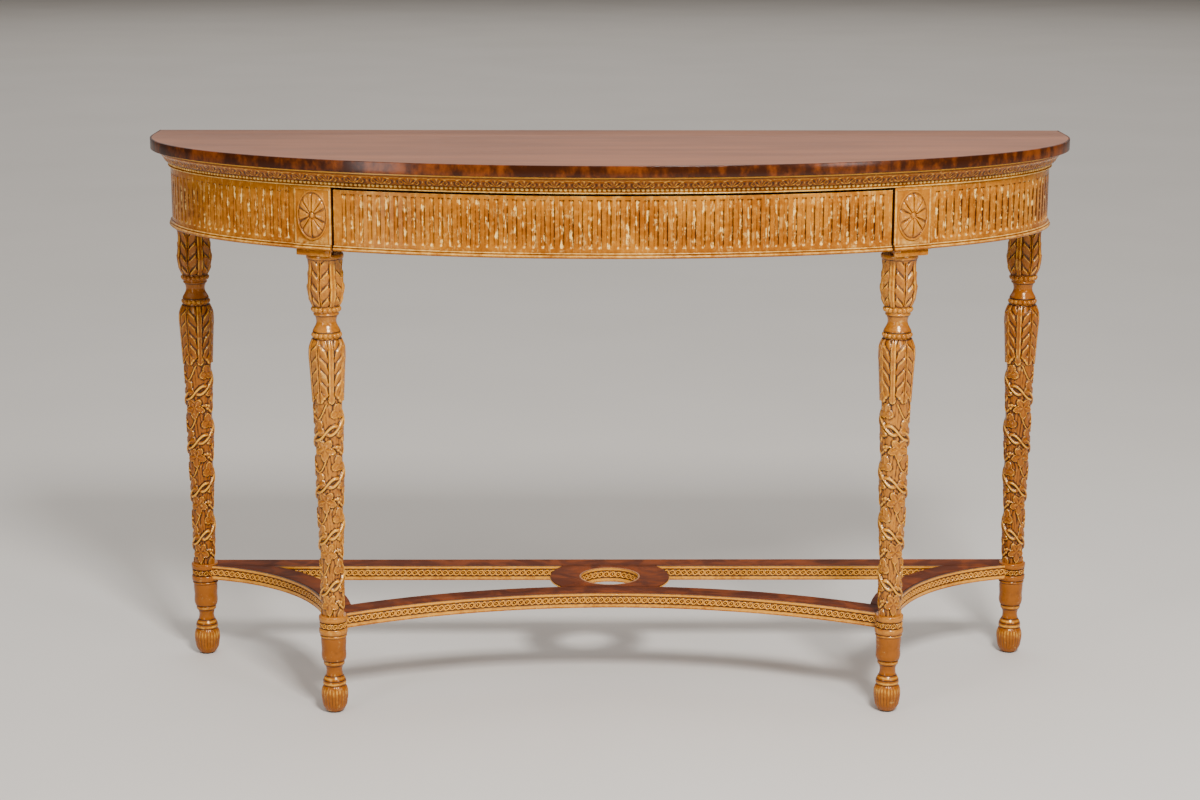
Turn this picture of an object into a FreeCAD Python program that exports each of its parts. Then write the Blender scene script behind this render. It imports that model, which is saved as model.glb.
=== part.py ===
import FreeCAD, Part
import math
import os

from FreeCAD import Vector

# Overall size in millimetres. The origin lies on the floor under the middle of the table's box,
# +X runs along the width, +Y towards the wall and +Z up.
WIDTH = 1530.0
DEPTH = 504.0
HEIGHT = 914.0

# Top: a half-ellipse board with short straight ends, lipped with a veneered band
TOP_THICKNESS = 18.0
EDGE_BAND_THICKNESS = 3.0
SIDE_RETURN = 75.0

# Apron under the top
APRON_HEIGHT = 128.0
BACK_OVERHANG = 6.0
FRIEZE_INSET = 32.0
FRIEZE_THICKNESS = 14.0
BACK_RAIL_THICKNESS = 22.0
REAR_BLOCK_WIDTH = 60.0

# Mouldings that run round the apron
CORNICE_HEIGHT = 19.5
CORNICE_FILLET = 3.5
CORNICE_TOP_INSET = 12.0
CORNICE_FOOT_INSET = 24.0
CORNICE_WAIST_INSET = 15.0
BEAD_STRING_HEIGHT = 9.0
BEAD_STRING_PROJECTION = 5.0
BASE_MOULDING_HEIGHT = 9.5
BASE_MOULDING_PROJECTION = 5.0

# Flutes in the drawer front and the friezes
FLUTE_WIDTH = 6.4
FLUTE_DEPTH = 2.6
FLUTE_FOOT_MARGIN = 5.5
FLUTE_HEAD_MARGIN = 7.1
DRAWER_FLUTE_PITCH = 14.36
DRAWER_FLUTE_MARGIN = 18.3
SIDE_FLUTE_PITCH = 15.3
SIDE_FLUTE_MARGIN = 10.7
SIDE_FLUTE_BACK_MARGIN = 9.0

# Blocks beside the drawer, with an oval patera on each face
SIDE_FRIEZE_SPAN = 236.0
BLOCK_WIDTH = 60.0
BLOCK_DEPTH = 66.0
BLOCK_PROUD = 2.0
PATERA_WIDTH = 47.0
PATERA_HEIGHT = 77.0
PATERA_THICKNESS = 4.0
PLINTH_HEIGHT = 10.0
PLINTH_STEP = 2.0
REAR_PLINTH_WIDTH = 60.0

# Drawer and what carries it
UPPER_RAIL_WIDTH = 40.0
LOWER_RAIL_WIDTH = 34.0
DRAWER_SIDE_GAP = 3.0
DRAWER_TOP_GAP = 2.0
DRAWER_FRONT_THICKNESS = 22.0
DRAWER_SIDE_INSET = 28.0
DRAWER_SIDE_THICKNESS = 12.0
DRAWER_BACK_THICKNESS = 12.0
DRAWER_BACK_ROOM = 22.0
DRAWER_BOTTOM_THICKNESS = 6.0
DRAWER_BOTTOM_RAISE = 5.0
RUNNER_WIDTH = 40.0
RUNNER_HEIGHT = 16.0
RUNNER_CLEARANCE = 0.3
GUIDE_WIDTH = 14.0
GUIDE_HEIGHT = 14.0
GUIDE_CLEARANCE = 1.0
KICKER_HEIGHT = 36.0
KICKER_CLEARANCE = 2.0
STOP_WIDTH = 40.0
STOP_HEIGHT = 45.0
STOP_CLEARANCE = 0.3
STOP_PLACE_SHARE = 0.6

# Legs: where they stand, and how each turning is stacked from the collar up
FRONT_LEG_SETBACK = 36.0
REAR_LEG_SIDE_SETBACK = 27.0
REAR_LEG_BACK_SETBACK = 41.5
LEG_RADIUS = 30.4
CAP_RING_HEIGHT = 8.0
CAP_RING_RADIUS = 29.5
VASE_HEIGHT = 75.0
BEAD_RING_HEIGHT = 11.5
BEAD_RING_RADIUS = 24.2
NECK_HEIGHT = 30.0
LEAF_BAND_HEIGHT = 103.0
# Each pair: share of the stretch's height, share of the leg's radius
SHAFT_SHARES = ((0.0, 0.66), (0.12, 0.66), (0.38, 0.69), (0.53, 0.75), (0.8, 0.79), (1.0, 0.815))
LEAF_BAND_SHARES = ((0.0, 0.845), (0.4, 0.918), (0.79, 0.987), (0.92, 0.93), (1.0, 0.815))
NECK_SHARES = ((0.0, 0.72), (0.23, 0.638), (0.55, 0.527), (0.8, 0.56), (1.0, 0.64))
VASE_SHARES = ((0.0, 0.775), (0.13, 0.898), (0.33, 1.0), (0.6, 0.954), (0.86, 0.914), (1.0, 0.93))

# Collars at stretcher height
COLLAR_TOP = 165.0
COLLAR_RADIUS = 23.2
COLLAR_HEIGHT = 37.0
COLLAR_BAND_RADIUS = 22.2
# Heights of the collar's mouldings as shares of its own height
COLLAR_FOOT_RING_SHARE = 0.12
COLLAR_LOWER_SHARE = 0.4
COLLAR_UPPER_SHARE = 0.72
COLLAR_FOOT_RADIUS_SHARE = 0.93

# Lower legs, from the glide up to the collar
GLIDE_HEIGHT = 3.0
GLIDE_RADIUS = 11.0
BULB_HEIGHT = 43.0
BULB_RADIUS = 22.2
FLARE_HEIGHT = 16.0
COVE_HEIGHT = 18.0
ANKLE_RING_HEIGHT = 8.0
DRUM_RADIUS = 20.4
# Each pair: share of the stretch's height, share of the bulb's or the drum's radius
BULB_SHARES = ((0.0, 0.65), (0.17, 0.85), (0.4, 0.946), (0.63, 1.0), (0.82, 0.964), (1.0, 0.81))
FLARE_SHARES = ((0.0, 0.92), (0.25, 0.93), (0.7, 0.86), (1.0, 0.71))
COVE_SHARES = ((0.0, 0.71), (0.55, 0.63), (1.0, 0.73))
ANKLE_RING_SHARE = 0.84
DRUM_FOOT_SHARE = 0.93

# Stretcher platform between the collars
STRETCHER_TOP = 162.5
STRETCHER_THICKNESS = 25.0
RAIL_CORE_WIDTH = 39.0
RAIL_MOULDING_THICKNESS = 4.0
SIDE_RAIL_RISE = 71.0
SIDE_RAIL_SET_IN = 8.0
RING_RADIUS = 101.9
RING_EDGE = 7.0
RING_LINING_THICKNESS = 3.0

# Fixings
LEG_DOWEL_RADIUS = 6.0
LEG_DOWEL_DEPTH = 45.0
FOOT_DOWEL_RADIUS = 5.0
FOOT_DOWEL_DEPTH = 32.0
SCREW_RADIUS = 2.0
SCREW_HEAD_RADIUS = 4.0
SCREW_HEAD_HEIGHT = 3.0
SCREW_GRIP = 14.0
SCREW_BITE = 11.0
SCREW_PLACE_SHARES = (0.15, 0.5, 0.85)
FIXING_CLEARANCE = 0.15

# How far every cutting shape runs past the piece that it cuts
OVERRUN = 20.0

# Places worked out from the sizes above
BACK_Y = DEPTH / 2
CURVE_Y = BACK_Y - SIDE_RETURN
CURVE_DEPTH = DEPTH - SIDE_RETURN
TOP_UNDERSIDE = HEIGHT - TOP_THICKNESS
APRON_BOTTOM = TOP_UNDERSIDE - APRON_HEIGHT
APRON_BACK_Y = BACK_Y - BACK_OVERHANG
CORNICE_FOOT = TOP_UNDERSIDE - CORNICE_HEIGHT
BEAD_FOOT = CORNICE_FOOT - BEAD_STRING_HEIGHT
BASE_MOULDING_TOP = APRON_BOTTOM + BASE_MOULDING_HEIGHT
FACE_INSET = FRIEZE_INSET - BLOCK_PROUD
BLOCK_OUTER_X = WIDTH / 2 - FRIEZE_INSET - SIDE_FRIEZE_SPAN
BLOCK_INNER_X = BLOCK_OUTER_X - BLOCK_WIDTH
BLOCK_MIDDLE_X = BLOCK_OUTER_X - BLOCK_WIDTH / 2
LEG_TOP = APRON_BOTTOM - PLINTH_HEIGHT
COLLAR_BOTTOM = COLLAR_TOP - COLLAR_HEIGHT
FRIEZE_INNER_X = WIDTH / 2 - FRIEZE_INSET - FRIEZE_THICKNESS
REAR_BLOCK_X = FRIEZE_INNER_X - REAR_BLOCK_WIDTH
BACK_RAIL_Y = APRON_BACK_Y - BACK_RAIL_THICKNESS
RUNNER_TOP = APRON_BOTTOM + RUNNER_HEIGHT
KICKER_BOTTOM = TOP_UNDERSIDE - KICKER_HEIGHT
DRAWER_BACK_Y = BACK_RAIL_Y - DRAWER_BACK_ROOM
DRAWER_SIDE_X = BLOCK_INNER_X - DRAWER_SIDE_INSET
DRAWER_INNER_X = DRAWER_SIDE_X - DRAWER_SIDE_THICKNESS
DRAWER_BOX_BOTTOM = RUNNER_TOP + RUNNER_CLEARANCE
DRAWER_BOX_TOP = KICKER_BOTTOM - KICKER_CLEARANCE
STRETCHER_BOTTOM = STRETCHER_TOP - STRETCHER_THICKNESS
RAIL_WIDTH = RAIL_CORE_WIDTH + RAIL_MOULDING_THICKNESS
RING_HOLE_RADIUS = RING_RADIUS - RAIL_WIDTH - RING_EDGE

os.makedirs("parts", exist_ok=True)


def save(name, shape):
    shape.exportStep("parts/" + name + ".step")


def box(x_range, y_range, z_range):
    low = Vector(x_range[0], y_range[0], z_range[0])
    size = Vector(x_range[1], y_range[1], z_range[1]) - low
    return Part.makeBox(size.x, size.y, size.z, low)


def rod(x, y, z_range, radius):
    return Part.makeCylinder(radius, z_range[1] - z_range[0], Vector(x, y, z_range[0]))


def mirrored(shape):
    return shape.mirror(Vector(0, 0, 0), Vector(1, 0, 0))


def main_solid(shape):
    """The largest solid of a cut, without the offcuts."""
    return max(shape.Solids, key=lambda solid: solid.Volume)


def curve_y(inset, x):
    """Front edge of the top's outline, drawn in by an inset, at a place along the width."""
    half_width = WIDTH / 2 - inset
    return CURVE_Y - (CURVE_DEPTH - inset) * math.sqrt(1 - (x / half_width) ** 2)


def curve_normal(inset, x):
    """Unit vector square to that edge, pointing out of the table."""
    half_width = WIDTH / 2 - inset
    reach = CURVE_DEPTH - inset
    out = Vector(x / half_width ** 2, (curve_y(inset, x) - CURVE_Y) / reach ** 2, 0)
    return out.normalize()


def curve_arc(inset, x_low, x_high):
    """Stretch of that edge between two places along the width, at floor height."""
    half_width = WIDTH / 2 - inset
    ellipse = Part.Ellipse(Vector(0, CURVE_Y, 0), half_width, CURVE_DEPTH - inset)
    angles = [2 * math.pi - math.acos(x / half_width) for x in (x_low, x_high)]
    return Part.Arc(ellipse, *angles).toShape()


def outline(inset, z, back_y):
    """The top's outline drawn in by an inset: straight back, straight ends, half-ellipse front."""
    half_width = WIDTH / 2 - inset
    ellipse = Part.Ellipse(Vector(0, CURVE_Y, z), half_width, CURVE_DEPTH - inset)
    corners = [
        Vector(half_width, CURVE_Y, z),
        Vector(half_width, back_y, z),
        Vector(-half_width, back_y, z),
        Vector(-half_width, CURVE_Y, z),
    ]
    edges = [Part.Arc(ellipse, math.pi, 2 * math.pi).toShape()]
    edges += [Part.makeLine(start, end) for start, end in zip(corners, corners[1:])]
    return Part.Wire(edges)


def slab(inset, z_range, back_y):
    face = Part.Face(outline(inset, z_range[0], back_y))
    return face.extrude(Vector(0, 0, z_range[1] - z_range[0]))


def strip(outer_inset, inner_inset, z_range, back_y=APRON_BACK_Y):
    """A band that follows the curve and both ends, open at the back."""
    return slab(outer_inset, z_range, back_y).cut(slab(inner_inset, z_range, back_y + OVERRUN))


def between(shape, x_low, x_high):
    """What a shape holds between two planes across the width."""
    bounds = shape.BoundBox
    slice_box = box(
        (x_low, x_high),
        (bounds.YMin - OVERRUN, bounds.YMax + OVERRUN),
        (bounds.ZMin - OVERRUN, bounds.ZMax + OVERRUN),
    )
    return shape.common(slice_box)


def stretch(shares, foot, height, radius):
    """Points of a turned stretch as radius and height, from its foot upwards."""
    return [Vector(part * radius, 0, foot + rise * height) for rise, part in shares]


def ring_points(foot, height, radius):
    return [Vector(radius, 0, foot), Vector(radius, 0, foot + height)]


def quarter_arc(middle, radius, side):
    """Quarter circle beside an upright axis, below its middle (side -1) or above it (side 1)."""
    reach = radius * math.sqrt(1 / 2)
    tip = middle + Vector(0, 0, side * radius)
    between_ends = middle + Vector(reach, 0, side * reach)
    return Part.Arc(tip, between_ends, middle + Vector(radius, 0, 0)).toShape()


def turned(stretches, x, y):
    """A turning about an upright axis, from stretches that are straight or smooth curves."""
    edges = []
    first = stretches[0][0]
    pen = Vector(0, 0, first.z)
    for points in stretches:
        if (points[0] - pen).Length > 0:
            edges.append(Part.makeLine(pen, points[0]))
        if len(points) > 2:
            curve = Part.BSplineCurve()
            curve.interpolate(points)
            edges.append(curve.toShape())
        else:
            edges.append(Part.makeLine(points[0], points[1]))
        pen = points[-1]
    top = Vector(0, 0, pen.z)
    edges.append(Part.makeLine(pen, top))
    edges.append(Part.makeLine(top, Vector(0, 0, first.z)))
    solid = Part.Face(Part.Wire(edges)).revolve(Vector(0, 0, 0), Vector(0, 0, 1), 360)
    solid.translate(Vector(x, y, 0))
    return solid


# Where the legs stand
block_face = Vector(BLOCK_MIDDLE_X, curve_y(FACE_INSET, BLOCK_MIDDLE_X), 0)
block_out = curve_normal(FACE_INSET, BLOCK_MIDDLE_X)
front_leg = block_face - block_out * FRONT_LEG_SETBACK
rear_leg = Vector(
    WIDTH / 2 - FRIEZE_INSET - REAR_LEG_SIDE_SETBACK,
    APRON_BACK_Y - REAR_LEG_BACK_SETBACK,
    0,
)
LEG_PLACES = {
    "front_left": Vector(-front_leg.x, front_leg.y, 0),
    "front_right": front_leg,
    "rear_left": Vector(-rear_leg.x, rear_leg.y, 0),
    "rear_right": rear_leg,
}


def leg_holes():
    """Bores for the dowels that pin the legs into the blocks above them."""
    reach = (LEG_TOP - LEG_DOWEL_DEPTH, APRON_BOTTOM + LEG_DOWEL_DEPTH)
    return [rod(p.x, p.y, reach, LEG_DOWEL_RADIUS + FIXING_CLEARANCE) for p in LEG_PLACES.values()]


def foot_holes():
    """Bores for the dowels that run from the feet through the collars into the legs."""
    reach = (COLLAR_BOTTOM - FOOT_DOWEL_DEPTH, COLLAR_TOP + FOOT_DOWEL_DEPTH)
    return [rod(p.x, p.y, reach, FOOT_DOWEL_RADIUS + FIXING_CLEARANCE) for p in LEG_PLACES.values()]


# Screws that draw the top down onto the kickers
kicker_outer_x = DRAWER_SIDE_X + GUIDE_CLEARANCE + GUIDE_WIDTH
kicker_inner_x = kicker_outer_x - RUNNER_WIDTH
kicker_front_y = curve_y(FRIEZE_INSET + UPPER_RAIL_WIDTH, kicker_outer_x)
kicker_middle_x = (kicker_outer_x + kicker_inner_x) / 2
SCREW_PLACES = [
    Vector(side * kicker_middle_x, kicker_front_y + share * (BACK_RAIL_Y - kicker_front_y), 0)
    for side in (-1, 1)
    for share in SCREW_PLACE_SHARES
]
SCREW_SEAT = TOP_UNDERSIDE - SCREW_GRIP


def screw_shape(place, clearance, head_foot):
    """One screw, or the bore and pocket for it when a clearance is given."""
    shank = rod(place.x, place.y, (SCREW_SEAT, TOP_UNDERSIDE + SCREW_BITE), SCREW_RADIUS + clearance)
    head = rod(place.x, place.y, (head_foot, SCREW_SEAT), SCREW_HEAD_RADIUS + clearance)
    return shank.fuse(head)


screw_bores = [screw_shape(place, FIXING_CLEARANCE, KICKER_BOTTOM - OVERRUN) for place in SCREW_PLACES]

# Top board and edge band
top_z = (TOP_UNDERSIDE, HEIGHT)
save("top_panel", slab(EDGE_BAND_THICKNESS, top_z, BACK_Y).cut(screw_bores))
save("top_edge_band", strip(0, EDGE_BAND_THICKNESS, top_z, BACK_Y))

# Cornice: a fillet over a sloping face that carries the leaf carving, lofted down the curve
cornice_insets = (
    (TOP_UNDERSIDE, CORNICE_TOP_INSET),
    (TOP_UNDERSIDE - CORNICE_FILLET, CORNICE_TOP_INSET),
    (TOP_UNDERSIDE - 2 * CORNICE_FILLET, CORNICE_WAIST_INSET),
    (CORNICE_FOOT, CORNICE_FOOT_INSET),
)
cornice = Part.makeLoft([outline(inset, z, APRON_BACK_Y) for z, inset in cornice_insets], True, True)
cornice = cornice.cut(slab(FRIEZE_INSET, (CORNICE_FOOT, TOP_UNDERSIDE), APRON_BACK_Y + OVERRUN))
save("cornice_moulding", cornice)
bead_z = (BEAD_FOOT, CORNICE_FOOT)
save("bead_string", strip(FRIEZE_INSET - BEAD_STRING_PROJECTION, FRIEZE_INSET, bead_z))

# Flutes: upright round grooves with round ends, cut by rods that run just before the face
flute_radius = (FLUTE_WIDTH ** 2 / 4 + FLUTE_DEPTH ** 2) / (2 * FLUTE_DEPTH)
flute_inset = FRIEZE_INSET + FLUTE_DEPTH - flute_radius
flute_foot = BASE_MOULDING_TOP + FLUTE_FOOT_MARGIN
flute_head = BEAD_FOOT - DRAWER_TOP_GAP - FLUTE_HEAD_MARGIN
lower_middle = Vector(0, 0, flute_foot + flute_radius)
upper_middle = Vector(0, 0, flute_head - flute_radius)
flute_side = Vector(flute_radius, 0, 0)
flute_outline = Part.Wire([
    Part.makeLine(Vector(0, 0, flute_head), Vector(0, 0, flute_foot)),
    quarter_arc(lower_middle, flute_radius, -1),
    Part.makeLine(lower_middle + flute_side, upper_middle + flute_side),
    quarter_arc(upper_middle, flute_radius, 1),
])
flute_rod = Part.Face(flute_outline).revolve(Vector(0, 0, 0), Vector(0, 0, 1), 360)


def flute_rods(face_line, pitch):
    """Rods evenly spaced from one end of a line to the other."""
    count = round(face_line.Length / pitch) + 1
    return [flute_rod.translated(place) for place in face_line.discretize(Number=count)]


# Curved friezes and the base mouldings under them, which break forward round the blocks
apron_z = (APRON_BOTTOM, TOP_UNDERSIDE)
base_z = (APRON_BOTTOM, BASE_MOULDING_TOP)
flute_x = WIDTH / 2 - flute_inset
frieze_end = Part.makeLine(
    Vector(flute_x, CURVE_Y, 0),
    Vector(flute_x, APRON_BACK_Y - SIDE_FLUTE_BACK_MARGIN, 0),
)
frieze_line = Part.Wire([curve_arc(flute_inset, BLOCK_OUTER_X + SIDE_FLUTE_MARGIN, flute_x), frieze_end])
frieze = between(strip(FRIEZE_INSET, FRIEZE_INSET + FRIEZE_THICKNESS, apron_z), BLOCK_OUTER_X, WIDTH / 2)
frieze = frieze.cut(flute_rods(frieze_line, SIDE_FLUTE_PITCH))
save("frieze_right", frieze)
save("frieze_left", mirrored(frieze))
moulding_inset = FRIEZE_INSET - BASE_MOULDING_PROJECTION
base_moulding = between(strip(moulding_inset, FRIEZE_INSET, base_z), BLOCK_OUTER_X, WIDTH / 2)
block_moulding = strip(moulding_inset - BLOCK_PROUD, FACE_INSET, base_z)
base_moulding = base_moulding.fuse(between(block_moulding, BLOCK_INNER_X, BLOCK_OUTER_X)).removeSplitter()
save("base_moulding_right", base_moulding)
save("base_moulding_left", mirrored(base_moulding))

# Front blocks: a core up to the top, with a face plate that stands proud between the mouldings
block = strip(FRIEZE_INSET, FACE_INSET + BLOCK_DEPTH, apron_z)
block = block.fuse(strip(FACE_INSET, FRIEZE_INSET, (APRON_BOTTOM, BEAD_FOOT)))
block = between(block, BLOCK_INNER_X, BLOCK_OUTER_X).removeSplitter().cut(leg_holes())
save("front_block_right", block)
save("front_block_left", mirrored(block))

# Plinth plates between the blocks and the legs
plinth_z = (LEG_TOP, APRON_BOTTOM)
plinth = strip(FACE_INSET + PLINTH_STEP, FACE_INSET + BLOCK_DEPTH - PLINTH_STEP, plinth_z)
plinth = between(plinth, BLOCK_INNER_X + PLINTH_STEP, BLOCK_OUTER_X - PLINTH_STEP).cut(leg_holes())
save("plinth_front_right", plinth)
save("plinth_front_left", mirrored(plinth))
half_plinth = REAR_PLINTH_WIDTH / 2
rear_plinth = box(
    (rear_leg.x - half_plinth, rear_leg.x + half_plinth),
    (rear_leg.y - half_plinth, rear_leg.y + half_plinth),
    plinth_z,
).cut(leg_holes())
save("plinth_rear_right", rear_plinth)
save("plinth_rear_left", mirrored(rear_plinth))

# Paterae: oval plates bent to the face of each block
patera_middle = Vector(block_face.x, block_face.y, (BASE_MOULDING_TOP + BEAD_FOOT) / 2)
block_along = Vector(-block_out.y, block_out.x, 0)
oval = Part.Ellipse(
    patera_middle + Vector(0, 0, PATERA_HEIGHT / 2),
    patera_middle + block_along * (PATERA_WIDTH / 2),
    patera_middle,
)
oval_face = Part.Face(Part.Wire([oval.toShape()]))
oval_face.translate(block_out * -OVERRUN)
oval_prism = oval_face.extrude(block_out * (2 * OVERRUN))
patera = strip(FACE_INSET - PATERA_THICKNESS, FACE_INSET, (BASE_MOULDING_TOP, BEAD_FOOT)).common(oval_prism)
save("patera_right", patera)
save("patera_left", mirrored(patera))

# Rear blocks behind the friezes' straight ends, and the back rail between them
rear_block = box((REAR_BLOCK_X, FRIEZE_INNER_X), (CURVE_Y, APRON_BACK_Y), apron_z).cut(leg_holes())
save("rear_block_right", rear_block)
save("rear_block_left", mirrored(rear_block))
save("back_rail", box((-REAR_BLOCK_X, REAR_BLOCK_X), (BACK_RAIL_Y, APRON_BACK_Y), apron_z))

# Rails over and under the drawer, between the front blocks
upper_rail = strip(FRIEZE_INSET, FRIEZE_INSET + UPPER_RAIL_WIDTH, (BEAD_FOOT, TOP_UNDERSIDE))
save("upper_drawer_rail", between(upper_rail, -BLOCK_INNER_X, BLOCK_INNER_X))
lower_rail_back_y = curve_y(FACE_INSET + BLOCK_DEPTH, BLOCK_INNER_X)
lower_rail_y = (lower_rail_back_y - LOWER_RAIL_WIDTH, lower_rail_back_y)
save("lower_drawer_rail", box((-BLOCK_INNER_X, BLOCK_INNER_X), lower_rail_y, (APRON_BOTTOM, RUNNER_TOP)))

# Runners with their guide lips, and kickers that hold the drawer down and the top on
runner_y = (lower_rail_back_y, BACK_RAIL_Y)
runner = box((kicker_inner_x, kicker_outer_x), runner_y, (APRON_BOTTOM, RUNNER_TOP))
guide_x = (DRAWER_SIDE_X + GUIDE_CLEARANCE, kicker_outer_x)
guide = box(guide_x, runner_y, (RUNNER_TOP, RUNNER_TOP + GUIDE_HEIGHT))
runner = runner.fuse(guide).removeSplitter()
save("drawer_runner_right", runner)
save("drawer_runner_left", mirrored(runner))
kicker_z = (KICKER_BOTTOM, TOP_UNDERSIDE)
kicker = slab(FRIEZE_INSET + UPPER_RAIL_WIDTH, kicker_z, BACK_RAIL_Y)
kicker = between(kicker, kicker_inner_x, kicker_outer_x).cut(screw_bores)
save("drawer_kicker_right", kicker)
save("drawer_kicker_left", mirrored(kicker))
screw_head_foot = SCREW_SEAT - SCREW_HEAD_HEIGHT
save("top_screws", Part.makeCompound([screw_shape(place, 0, screw_head_foot) for place in SCREW_PLACES]))

# Stops on the back rail that the closed drawer comes up to
stop_middle_x = STOP_PLACE_SHARE * DRAWER_INNER_X
stop = box(
    (stop_middle_x - STOP_WIDTH / 2, stop_middle_x + STOP_WIDTH / 2),
    (DRAWER_BACK_Y + STOP_CLEARANCE, BACK_RAIL_Y),
    (DRAWER_BOX_BOTTOM, DRAWER_BOX_BOTTOM + STOP_HEIGHT),
)
save("drawer_stops", Part.makeCompound([mirrored(stop), stop]))

# Drawer: a bowed front that carries its own stretch of base moulding, and a plain box behind it
drawer_half = BLOCK_INNER_X - DRAWER_SIDE_GAP
drawer_back_inset = FRIEZE_INSET + DRAWER_FRONT_THICKNESS
drawer_front = strip(FRIEZE_INSET, drawer_back_inset, (APRON_BOTTOM, BEAD_FOOT - DRAWER_TOP_GAP))
drawer_front = between(drawer_front, -drawer_half, drawer_half)
drawer_flute_x = drawer_half - DRAWER_FLUTE_MARGIN
drawer_line = curve_arc(flute_inset, -drawer_flute_x, drawer_flute_x)
save("drawer_front", drawer_front.cut(flute_rods(drawer_line, DRAWER_FLUTE_PITCH)))
save("drawer_base_moulding", between(strip(moulding_inset, FRIEZE_INSET, base_z), -drawer_half, drawer_half))
drawer_side = slab(drawer_back_inset, (DRAWER_BOX_BOTTOM, DRAWER_BOX_TOP), DRAWER_BACK_Y)
drawer_side = between(drawer_side, DRAWER_INNER_X, DRAWER_SIDE_X)
save("drawer_side_right", drawer_side)
save("drawer_side_left", mirrored(drawer_side))
drawer_back_y = (DRAWER_BACK_Y - DRAWER_BACK_THICKNESS, DRAWER_BACK_Y)
drawer_inside = (-DRAWER_INNER_X, DRAWER_INNER_X)
save("drawer_back", box(drawer_inside, drawer_back_y, (DRAWER_BOX_BOTTOM, DRAWER_BOX_TOP)))
bottom_foot = DRAWER_BOX_BOTTOM + DRAWER_BOTTOM_RAISE
bottom_z = (bottom_foot, bottom_foot + DRAWER_BOTTOM_THICKNESS)
save("drawer_bottom", between(slab(drawer_back_inset, bottom_z, drawer_back_y[0]), *drawer_inside))

# Upper legs: shaft, leaf band, bead ring, neck, bead ring, vase and cap ring
CAP_RING_FOOT = LEG_TOP - CAP_RING_HEIGHT
VASE_FOOT = CAP_RING_FOOT - VASE_HEIGHT
UPPER_BEADS_FOOT = VASE_FOOT - BEAD_RING_HEIGHT
NECK_FOOT = UPPER_BEADS_FOOT - NECK_HEIGHT
LOWER_BEADS_FOOT = NECK_FOOT - BEAD_RING_HEIGHT
LEAF_BAND_FOOT = LOWER_BEADS_FOOT - LEAF_BAND_HEIGHT
leg_stretches = [
    stretch(SHAFT_SHARES, COLLAR_TOP, LEAF_BAND_FOOT - COLLAR_TOP, LEG_RADIUS),
    stretch(LEAF_BAND_SHARES, LEAF_BAND_FOOT, LEAF_BAND_HEIGHT, LEG_RADIUS),
    ring_points(LOWER_BEADS_FOOT, BEAD_RING_HEIGHT, BEAD_RING_RADIUS),
    stretch(NECK_SHARES, NECK_FOOT, NECK_HEIGHT, LEG_RADIUS),
    ring_points(UPPER_BEADS_FOOT, BEAD_RING_HEIGHT, BEAD_RING_RADIUS),
    stretch(VASE_SHARES, VASE_FOOT, VASE_HEIGHT, LEG_RADIUS),
    ring_points(CAP_RING_FOOT, CAP_RING_HEIGHT, CAP_RING_RADIUS),
]

# Collars: a plain band between two mouldings, over a thin foot ring
foot_ring_height = COLLAR_FOOT_RING_SHARE * COLLAR_HEIGHT
lower_height = COLLAR_LOWER_SHARE * COLLAR_HEIGHT
upper_height = COLLAR_UPPER_SHARE * COLLAR_HEIGHT
collar_stretches = [
    ring_points(COLLAR_BOTTOM, foot_ring_height, COLLAR_FOOT_RADIUS_SHARE * COLLAR_RADIUS),
    ring_points(COLLAR_BOTTOM + foot_ring_height, lower_height - foot_ring_height, COLLAR_RADIUS),
    ring_points(COLLAR_BOTTOM + lower_height, upper_height - lower_height, COLLAR_BAND_RADIUS),
    ring_points(COLLAR_BOTTOM + upper_height, COLLAR_HEIGHT - upper_height, COLLAR_RADIUS),
]

# Lower legs: fluted bulb, flared ring, cove, ankle ring and tapering drum
FLARE_FOOT = GLIDE_HEIGHT + BULB_HEIGHT
COVE_FOOT = FLARE_FOOT + FLARE_HEIGHT
ANKLE_FOOT = COVE_FOOT + COVE_HEIGHT
DRUM_FOOT = ANKLE_FOOT + ANKLE_RING_HEIGHT
foot_stretches = [
    stretch(BULB_SHARES, GLIDE_HEIGHT, BULB_HEIGHT, BULB_RADIUS),
    stretch(FLARE_SHARES, FLARE_FOOT, FLARE_HEIGHT, DRUM_RADIUS),
    stretch(COVE_SHARES, COVE_FOOT, COVE_HEIGHT, DRUM_RADIUS),
    ring_points(ANKLE_FOOT, ANKLE_RING_HEIGHT, ANKLE_RING_SHARE * DRUM_RADIUS),
    [Vector(DRUM_FOOT_SHARE * DRUM_RADIUS, 0, DRUM_FOOT), Vector(DRUM_RADIUS, 0, COLLAR_BOTTOM)],
]

glides = []
leg_dowels = []
foot_dowels = []
for name, place in LEG_PLACES.items():
    save("leg_" + name, turned(leg_stretches, place.x, place.y).cut(leg_holes() + foot_holes()))
    save("collar_" + name, turned(collar_stretches, place.x, place.y).cut(foot_holes()))
    save("foot_" + name, turned(foot_stretches, place.x, place.y).cut(foot_holes()))
    glides.append(rod(place.x, place.y, (0, GLIDE_HEIGHT), GLIDE_RADIUS))
    leg_dowel_z = (LEG_TOP - LEG_DOWEL_DEPTH, APRON_BOTTOM + LEG_DOWEL_DEPTH)
    leg_dowels.append(rod(place.x, place.y, leg_dowel_z, LEG_DOWEL_RADIUS))
    foot_dowel_z = (COLLAR_BOTTOM - FOOT_DOWEL_DEPTH, COLLAR_TOP + FOOT_DOWEL_DEPTH)
    foot_dowels.append(rod(place.x, place.y, foot_dowel_z, FOOT_DOWEL_RADIUS))
save("floor_glides", Part.makeCompound(glides))
save("leg_dowels", Part.makeCompound(leg_dowels))
save("foot_dowels", Part.makeCompound(foot_dowels))

# Stretcher platform, all between the same two heights
STRETCHER_Z = (STRETCHER_BOTTOM, STRETCHER_TOP)
collar_cores = [rod(p.x, p.y, STRETCHER_Z, COLLAR_RADIUS) for p in LEG_PLACES.values()]


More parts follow.
